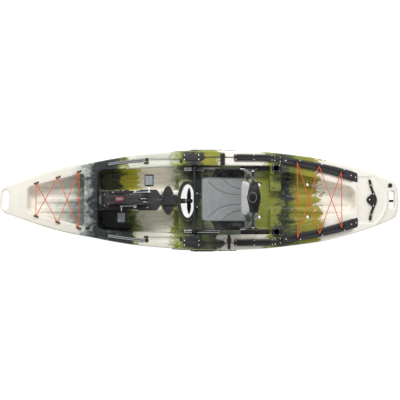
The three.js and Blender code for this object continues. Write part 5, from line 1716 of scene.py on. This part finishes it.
def seat_fittings():
    """Clamps that grip the rails, hinge plates and their knobs, the slide latch and bar ends."""
    for side, sign in SIDES.items():
        clamp = Shape()
        clamp.lathe((1966, sign * 300, 362), (0, sign, 0), [(0, 14), (2, 16.5), (34, 16.5), (36, 14)], 28)
        clamp.lathe((1963, sign * 320, 286), (0.0, 0, 1),
                    [(0, 26), (3, 28), (11, 28), (14, 24), (22, 19), (24, 15)], 32)
        low = size_of(f"rear_seat_rail_{side}")[1].z
        clamp.lathe((2606, sign * 318, low + 0.6), (0, 0, 1), [(0, 17), (3, 19), (12, 19), (16, 15)], 28)
        clamp.lathe((2046, sign * 266, 541), (0.45, sign * 0.8, -0.4),
                    [(0, 12), (2, 14.5), (38, 14.5), (40, 12)], 24)
        clamp.lathe((2552, sign * 262, 452), (0, sign, 0), [(0, 13), (2, 14.6), (14, 14.6), (16, 13)], 24)
        for s in (2214, 2316):
            z = float(np.interp(s, (2187, 2300, 2430), (574, 549, 514)))
            clamp.lathe((s - 12, sign * 289, z), (1, 0, -0.24),
                        [(0, 14.5), (1.5, 16), (24, 16), (25.5, 14.5)], 24)
        clamp.piece(f"seat_clamps_{side}", "black_plastic", "seat", bevel=0.8)
        knob = Shape()
        grooves = [(0, 8), (3, 15), (6, 16), (15, 16), (18, 13), (18.5, 6)]
        knob.lathe((1963, sign * 347, 296), (0, sign, 0), [(a * 0.7, r * 0.7) for a, r in grooves], 9)
        knob.piece(f"seat_slide_knob_{side}", "dark_plastic", "seat", bevel=1)
        hinge = Shape()
        outline = [(2530, 484), (2552, 476), (2566, 492), (2562, 512), (2540, 518), (2526, 502)]
        hinge.prism(outline, "y", *sorted((sign * 276, sign * 283)))
        hinge.lathe((BACK_HINGE[0], sign * 275, BACK_HINGE[1]), (0, sign, 0),
                    [(0, 7), (9, 7), (10, 11), (14, 11), (15, 8)], 6)
        hinge.piece(f"seat_hinge_{side}", "bright_steel", "seat", bevel=0.8)
    latch_bar = Shape()
    latch_bar.prism(round_outline(1979, 2003, -86, 80, 8), "z", 352, 366)
    latch_bar.prism(round_outline(1971, 1990, -60, -36, 4), "z", 356, 377)
    latch_bar.prism(round_outline(1971, 1990, 36, 60, 4), "z", 356, 377)
    latch_bar.piece("seat_slide_latch", "black_plastic", "seat", bevel=2)
    screws = Shape()
    for y in (-72, 66):
        screws.screw((1992, y, 366), radius=6.8)
    screws.piece("seat_slide_screws", "bright_steel", "seat")


def sling_height(s):
    return float(np.interp(s, [p[0] for p in SLING], [p[1] for p in SLING]))


PAN_HALF = 212
PAN_THICK = 9
PAN_FRONT, PAN_BACK = 2042, 2468


def smooth_sling(s):
    """The sling's height, its corners eased."""
    return sum(sling_height(s + shift) for shift in (-10, -5, 0, 5, 10)) / 5


def plan_half(s):
    """The mesh pan narrows to rounded corners at its front."""
    ahead = max(0.0, PAN_FRONT + 51 - s) / 52
    return PAN_HALF - 24 * (1 - math.sqrt(max(0.0, 1 - ahead * ahead)))


def pan_share(s):
    return min(max((s - PAN_FRONT + 1) / (PAN_BACK - PAN_FRONT + 3), 0.001), 0.999)


def seat_pan():
    pan = Shape()
    loops = []
    for s in np.concatenate([np.linspace(PAN_FRONT, PAN_FRONT + 51, 14),
                             np.linspace(PAN_FRONT + 59, PAN_BACK, 44)]):
        top, bottom = [], []
        for y in np.linspace(-1, 1, 41) * plan_half(s):
            z = smooth_sling(s) - pan_dip(s, y) + seam_dip(s, y)
            top.append((s, y, z))
            bottom.append((s, y, z - PAN_THICK))
        loops.append(top + bottom[::-1])
    pan.loft(loops)
    made = pan.piece("seat_mesh", "grey_mesh", "seat")
    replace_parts(made, "seat_pan")
    rim = [(s, plan_half(s)) for s in np.linspace(PAN_BACK - 4, PAN_FRONT + 51, 9)]
    rim += [(s, plan_half(s)) for s in (PAN_FRONT + 15, PAN_FRONT + 5)]
    rim += [(PAN_FRONT + 1, 170), (PAN_FRONT + 0.5, 0)]
    path = rim + [(s, -y) for s, y in rim[::-1][1:]]
    hem = Shape().tube([(s, y, smooth_sling(s) + 0.5) for s, y in path], 4.2, 10, 4)
    hem.piece("seat_mesh_hem", "piping", "seat")
    seams = Shape()
    for sign in (1, -1):
        for route in PAN_SEAMS:
            line = smooth_path([(s, sign * y, 0) for s, y in route], 5)
            path = [(s, y, smooth_sling(s) - 0.4 - pan_dip(s, y)) for s, y, _ in line]
            seams.tube(path, 2.0, 8, 1)
    stitched = seams.piece("seat_mesh_seams", "seam_thread", "seat")


# Lines where the pan's mesh panels are sewn, from its front corners to its back edge, for one side.
PAN_SEAMS = [
    [(2096, 176), (2155, 130), (2205, 92), (2270, 66), (2345, 52), (2466, 44)],
    [(2240, 208), (2285, 168), (2335, 134), (2400, 112), (2466, 104)],
]


def pan_dip(s, y):
    """How far the mesh sags between the side cloths."""
    across = min(abs(y) / max(plan_half(s), 1), 1)
    return 6 * math.cos(across * math.pi / 2) ** 0.8 * math.sin(math.pi * pan_share(s)) ** 0.6


def seam_dip(s, y):
    """How far the mesh pulls down beside its seams."""
    pull = 0.0
    for route in PAN_SEAMS:
        places, across = np.array(route, float).T
        if places[0] < s < places[-1]:
            away = abs(abs(y) - float(np.interp(s, places, across)))
            pull -= 2.2 * math.exp(-(away / 9) ** 2)
    return pull


def side_tube(s):
    """The side tube's distance from the middle and its height."""
    path = np.array(SEAT_PATH[3:9], float)
    return float(np.interp(s, path[:, 0], path[:, 1])), float(np.interp(s, path[:, 0], path[:, 2]))


def side_section(front_share):
    """The side cloth's outer and inner skins at a share of its length, from the mesh over the side tube."""
    outer, inner = [], []
    for v in np.linspace(0, 1, 15):
        s = 2128 + 37 * min(v / 0.6, 1)
        s += (2464 - s) * front_share
        tube_y, tube_z = side_tube(s)
        seat_z = smooth_sling(s) + 1
        if v < 0.6:
            rise = v / 0.6
            edge = np.array((tube_y - 12, tube_z + 9.5))
            start = np.array((213.0, seat_z))
            sag = np.array((0, -7 * math.sin(math.pi * rise) + 1.4 * rise * math.sin(s * 0.13)))
            point = start + (edge - start) * rise + sag
            outer.append((s, *point))
            inner.append((s, point[0] + 1, point[1] - 2.6))
        else:
            turn = math.radians(142 - 190 * (v - 0.6) / 0.4)
            for skin, radius in ((outer, 15.6), (inner, 13.3)):
                skin.append((s, tube_y + radius * math.cos(turn), tube_z + radius * math.sin(turn)))
    return outer, inner


def seat_sides():
    """Black cloth from the mesh up and over each side tube."""
    for side, sign in SIDES.items():
        wrap = Shape()
        loops = []
        for share in np.linspace(0, 1, 45):
            outer, inner = side_section(share)
            loops.append([(s, sign * y, z) for s, y, z in outer + inner[::-1]])
        wrap.loft(loops)
        made = wrap.piece(f"seat_side_cloth_{side}", "black_fabric", "seat")
        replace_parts(made, f"seat_side_{side}")


# ---- Padded back ----


def inflate(piece, cap, swell=4.0, frames=20):
    """Blows a closed pad up like a stuffed cushion with Blender's cloth, then keeps its shape."""
    remesh = piece.modifiers.new("remesh", "REMESH")
    remesh.mode = "VOXEL"
    remesh.voxel_size = 0.0065
    freeze(piece)
    start = np.array([v.co for v in piece.data.vertices])
    cloth = piece.modifiers.new("cloth", "CLOTH")
    cloth.settings.use_pressure = True
    cloth.settings.uniform_pressure_force = swell
    cloth.settings.effector_weights.gravity = 0
    cloth.settings.tension_stiffness = 18
    cloth.settings.compression_stiffness = 18
    cloth.settings.shear_stiffness = 8
    scene = bpy.context.scene
    for frame_number in range(1, frames + 1):
        scene.frame_set(frame_number)
    moved = evaluated_points(piece)
    piece.modifiers.remove(cloth)
    scene.frame_set(1)
    shift = moved - start
    length = np.linalg.norm(shift, axis=1)[:, None]
    shift *= np.minimum(1, cap * MM / np.maximum(length, 1e-9))
    piece.data.vertices.foreach_set("co", (start + shift).ravel())
    piece.data.update()


def evaluated_points(piece):
    graph = bpy.context.evaluated_depsgraph_get()
    graph.update()
    mesh = piece.evaluated_get(graph).data
    points = np.empty(len(mesh.vertices) * 3)
    mesh.vertices.foreach_get("co", points)
    return points.reshape(-1, 3)


def freeze(piece):
    """Turns a piece's modifiers into its mesh."""
    graph = bpy.context.evaluated_depsgraph_get()
    graph.update()
    mesh = bpy.data.meshes.new_from_object(piece.evaluated_get(graph))
    piece.modifiers.clear()
    piece.data = mesh
    mesh.polygons.foreach_set("use_smooth", [True] * len(mesh.polygons))


def pad_piece(name, shape, finish, swell_cap, node=None):
    """A padded piece: built a little small, then inflated and smoothed."""
    made = shape.piece(name, finish, "seat_back")
    made.modifiers.clear()
    inflate(made, swell_cap)
    smooth = made.modifiers.new("smooth", "SUBSURF")
    smooth.levels = 1
    smooth.render_levels = 1
    if node:
        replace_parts(made, node)
    return made


def crowned(rows, columns=15):
    """A pad lofted upwards from [height, front, back, half width] rows, thinner at its edges."""
    table = np.array(rows, float)
    bottom, top = table[0, 0], table[-1, 0]
    loops = []
    for z in np.linspace(bottom, top, 4 * len(rows)):
        front, back, half = (float(np.interp(z, table[:, 0], table[:, k])) for k in (1, 2, 3))
        thin = min(1.0, 0.6 + 4 * min(z - bottom, top - z) / (top - bottom))
        middle, depth = (front + back) / 2, (back - front) / 2 * thin
        shares = np.linspace(-1, 1, columns)
        depths = depth * (1 - 0.5 * np.abs(shares) ** 6)
        ahead = [(middle - d, v * half, z) for v, d in zip(shares, depths)]
        behind = [(middle + d, v * half, z) for v, d in zip(shares, depths)]
        loops.append(ahead + behind[::-1])
    return loops


def back_pads():
    lower_rows = [(620, 2441, 2466, 160), (640, 2426, 2462, 170), (700, 2424, 2460, 170),
                  (731, 2430, 2460, 164)]
    lower = Shape().loft(crowned(lower_rows))
    pad_piece("back_pad_lower", lower, "grey_mesh", 7, "back_panel_lower")
    upper_rows = [(739, 2424, 2458, 165), (790, 2424, 2460, 170), (850, 2448, 2468, 166),
                  (900, 2466, 2484, 150), (928, 2478, 2496, 128)]
    upper = Shape().loft(crowned(upper_rows))
    pad_piece("back_pad_upper", upper, "pale_mesh", 7, "back_panel_upper")


# The headrest's section along its middle: distance from the bow, height, half thickness.
HEADREST = [(2456, 893, 8), (2466, 915, 12), (2484, 941, 13), (2508, 962, 12), (2534, 971, 12),
            (2560, 967, 11), (2582, 958, 9), (2596, 950, 6)]
HEADREST_HALF = 149


def headrest():
    """The black pad over the top of the back, narrower towards its ends."""
    cap = Shape()
    loops = []
    for y in np.linspace(-HEADREST_HALF, HEADREST_HALF, 23):
        share = abs(y) / HEADREST_HALF
        reach = 1 - 0.47 * share
        squeeze = 1 - 0.35 * share ** 4
        drop = 5 * share ** 2
        top = [(2530 + (s - 2530) * reach, y, z - drop + t * squeeze) for s, z, t in HEADREST]
        under = [(2530 + (s - 2530) * reach, y, z - drop - t * squeeze * 0.8) for s, z, t in HEADREST[::-1]]
        loops.append(top + under)
    cap.loft(loops)
    pad_piece("headrest_pad", cap, "black_fabric", 5, None)


def headrest_trim():
    """A plain raised ring and a stitched border on the headrest."""
    ring = Shape()
    path = [(s, y, headrest_height(s, y) + 1.0) for s, y in arc(2512, 0, 36, 48, 0, 350, 35)]
    ring.tube(path, 2.4, 8, 1, closed=True)
    ring.piece("headrest_ring", "pale_plastic", "seat_back")
    border = Shape()
    edge = [(2474, 0), (2482, 60), (2504, 118), (2536, 132), (2560, 110), (2582, 52), (2586, 0)]
    edge += [(s, -y) for s, y in edge[-2:0:-1]]
    line = smooth_path([(s, y, 0) for s, y in edge], 5, closed=True)
    border.tube([(s, y, headrest_height(s, y) + 0.4) for s, y, _ in line], 1.5, 6, 1, closed=True)
    border.piece("headrest_stitching", "webbing", "seat_back")


def headrest_height(s, y):
    """The headrest's top, from its pad's mesh."""
    key = "headrest_pad"
    if key not in TREES:
        graph = bpy.context.evaluated_depsgraph_get()
        mesh = bpy.data.objects[key].evaluated_get(graph).data
        TREES[key] = BVHTree.FromPolygons([v.co for v in mesh.vertices],
                                          [p.vertices for p in mesh.polygons])
    hit = TREES[key].ray_cast(at(s, y, ABOVE_ALL), Vector((0, 0, -1)))[0]
    return hit.z / MM if hit else 970.0


def back_frame_at(z):
    """The back frame's tube at a height: distance from the bow and from the middle."""
    heights = (498, 604, 740, 864, 925)
    places = (2548, 2506, 2492, 2494, 2512)
    sides = (262, 252, 228, 208, 186)
    return float(np.interp(z, heights, places)), float(np.interp(z, heights, sides))


def back_trim():
    """Piping on the lower pad, and webbing loops that hang the pads from the frame, each with a buckle."""
    piping = Shape()
    for sign in (1, -1):
        piping.tube([(2423, sign * 120, 640), (2418, sign * 116, 680), (2422, sign * 120, 716)], 2, 8, 4)
    piping.piece("back_pad_piping", "piping", "seat_back")
    for side, sign in SIDES.items():
        straps = Shape()
        buckles = Shape()
        for z in (672, 800, 868):
            s, y = back_frame_at(z)
            pad = float(np.interp(z, (620, 790, 900), (2458, 2458, 2478)))
            round_tube = [(s + u, y + v, z) for v, u in arc(0, 0, 13.2, 13.2, -130, 130, 10)]
            path = [(pad - 2, 146, z), (pad + 2, 168, z), *round_tube, (pad + 12, 170, z),
                    (pad + 4, 150, z)]
            straps_band(straps, [(a, sign * b, c) for a, b, c in path], 12)
            middle = (pad + s) / 2 - 5, sign * ((168 + y) / 2)
            outline = round_outline(middle[0] - 5, middle[0] + 7, middle[1] - 11, middle[1] + 11, 3)
            buckles.prism(outline, "z", z - 16, z + 16)
        straps.piece(f"back_straps_{side}", "webbing", "seat_back")
        buckles.piece(f"back_buckles_{side}", "black_plastic", "seat_back", bevel=2)


def straps_band(shape, line, half, thick=1.6, axis=2):
    """Flat webbing along a line, its width along one axis."""
    line = np.array(line, float)
    ahead = np.gradient(line, axis=0)
    wide = np.zeros(3)
    wide[axis] = 1
    loops = []
    for place, along in zip(line, ahead):
        normal = np.cross(along, wide)
        normal /= max(np.linalg.norm(normal), 1e-6)
        loops.append([place + wide * half + normal * thick, place - wide * half + normal * thick,
                      place - wide * half - normal * thick, place + wide * half - normal * thick])
    shape.loft(loops)


def recline_straps():
    """A black and a grey strap each side, from the seat's side tube up to the back's frame."""
    for side, sign in SIDES.items():
        for name, finish, shift in (("black", "webbing", -11), ("grey", "grey_webbing", 12)):
            start = (2440 + shift, sign * 297, 534)
            end = (2494 + shift, sign * 221, 866)
            between_ends = [(2452 + shift, sign * 289, 600), (2474 + shift, sign * 262, 720)]
            strap = Shape()
            straps_band(strap, smooth_path([start, *between_ends, end], 8), 9.5, axis=0)
            made = strap.piece(f"recline_strap_{name}_{side}", finish, None)
            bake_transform(made)
        foot = Shape()
        tube_y, tube_z = side_tube(2440)
        foot.lathe((2414, sign * tube_y, tube_z + 7), (1, 0, -0.28),
                   [(0, 15), (1, 16), (52, 16), (53, 15)], 20)
        foot.piece(f"recline_foot_{side}", "black_plastic", "seat", bevel=0.8)
        anchor = Shape()
        anchor.lathe((2494, sign * 210, 854), (0, -sign * 0.16, 1),
                     [(0, 13), (1, 14), (25, 14), (26, 13)], 20)
        anchor.piece(f"recline_anchor_{side}", "black_plastic", "seat_back", bevel=0.8)
        buckle = Shape()
        for s, y, z in ((2431, 297, 556), (2454, 296, 562)):
            outline = [(s - 13, z - 12), (s + 13, z - 9), (s + 13, z + 12), (s - 13, z + 9)]
            buckle.prism(outline, "y", *sorted((sign * (y - 4), sign * (y + 4))))
        buckle.piece(f"recline_buckle_{side}", "bright_steel", "seat", bevel=1.5)


seat_frame()
seat_fittings()
seat_pan()
seat_sides()
back_pads()
headrest()
headrest_trim()
back_trim()
recline_straps()


# ---- Rudder and its knob ----


def rudder():
    outline = [
        (3699, 20), (3722, 6.5), (4055, 5.5), (4078, 10), (4088, 24), (4089, 60), (4088, 112),
        (4074, 132), (4045, 146), (3935, 145), (3800, 131), (3699, 121),
    ]
    inner = [
        (3712, 30), (3736, 18), (4050, 17), (4068, 24), (4076, 44), (4077, 106), (4064, 122),
        (4040, 133), (3935, 132), (3806, 120), (3712, 110),
    ]
    blade_shape = Shape()
    blade_shape.prism(outline, "y", -7, 7)
    blade_shape.prism(inner, "y", -9.4, 9.4)
    for z in (38, 62, 86, 110):
        for sign in (1, -1):
            path = [(3722, sign * 9.0, z), (3900, sign * 9.0, z), (4068, sign * 9.0, z)]
            blade_shape.tube(path, 2.6, 10, 2)
    blade_shape.lathe((RUDDER_POST, 0, 60.5), (0, 0, 1), [(0, 9.8), (1, 10.8), (294, 10.8), (295, 9.8)], 28)
    blade_shape.lathe((RUDDER_POST, 0, 300), (0, 0, 1), [(0, 6.8), (73, 6.8), (76, 5.5)], 24)
    made = blade_shape.piece("rudder_moulding", "black_plastic", "rudder", bevel=1.4)
    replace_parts(made, "rudder_blade")
    yoke = Shape()
    half = [(76, 8), (71, 30), (55, 68), (37, 112), (23, 165), (16, 202), (-8, 202), (1, 160),
            (11, 118), (23, 84), (27, 62), (3, 42), (-19, 22), (-27, 6)]
    whole = half + [(ds, -y) for ds, y in half[::-1]]
    rounded = smooth_path([(s, y, 0) for s, y in whole], 3, closed=True)
    yoke.prism([(RUDDER_POST + s, y) for s, y, _ in rounded], "z", 356.2, 363)
    for sign in (1, -1):
        ridge = [(3800, sign * 6, 363), (3793, sign * 34, 363), (3770, sign * 90, 363),
                 (3752, sign * 140, 363), (3741, sign * 194, 363)]
        yoke.tube(ridge, 4, 8, 5)
    yoke.lathe((RUDDER_POST, 0, 356.4), (0, 0, 1), [(0, 21), (9, 21), (12, 17), (16, 15), (16, 8)], 36)
    made = yoke.piece("rudder_yoke_arms", "black_plastic", "rudder", bevel=1.2)
    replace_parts(made, "rudder_yoke")
    screws = Shape()
    for s, y in ((RUDDER_POST, 0), (3751, 148), (3751, -148), (3776, 60), (3776, -60)):
        z = 376 if y == 0 else 366.4
        screws.screw((s, y, z), radius=6.8)
    screws.piece("rudder_screws", "bright_steel", "rudder")


def steering_knob():
    s, y = 2240, -440
    base = size_of("steering_knob")[0].z
    knob = Shape()
    profile = [(0, 27), (2, 29.6), (8, 29.6), (10, 25), (11, 13), (14, 11), (36, 11), (42, 15),
               (46, 18.5), (66, 18.6), (74, 17), (80, 13)]
    knob.lathe((s, y, base), (0, 0, 1), profile, 48)
    for turn in range(0, 360, 30):
        c, n = math.cos(math.radians(turn)), math.sin(math.radians(turn))
        knob.tube([(s + 18 * c, y + 18 * n, base + 47), (s + 18 * c, y + 18 * n, base + 65)], 1.6, 8, 2)
    made = knob.piece("steering_pedestal", "dark_plastic", "steering_knob", bevel=0.8)
    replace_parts(made, "steering_knob")
    bar = Shape()
    path = [(s, y - 27, base + 84), (s, y, base + 85), (s, y + 27, base + 84)]
    bar.tube(path, 4.6, 14, 5)
    bar.piece("steering_lever", "black_plastic", "steering_knob", bevel=0.6)


rudder()
steering_knob()
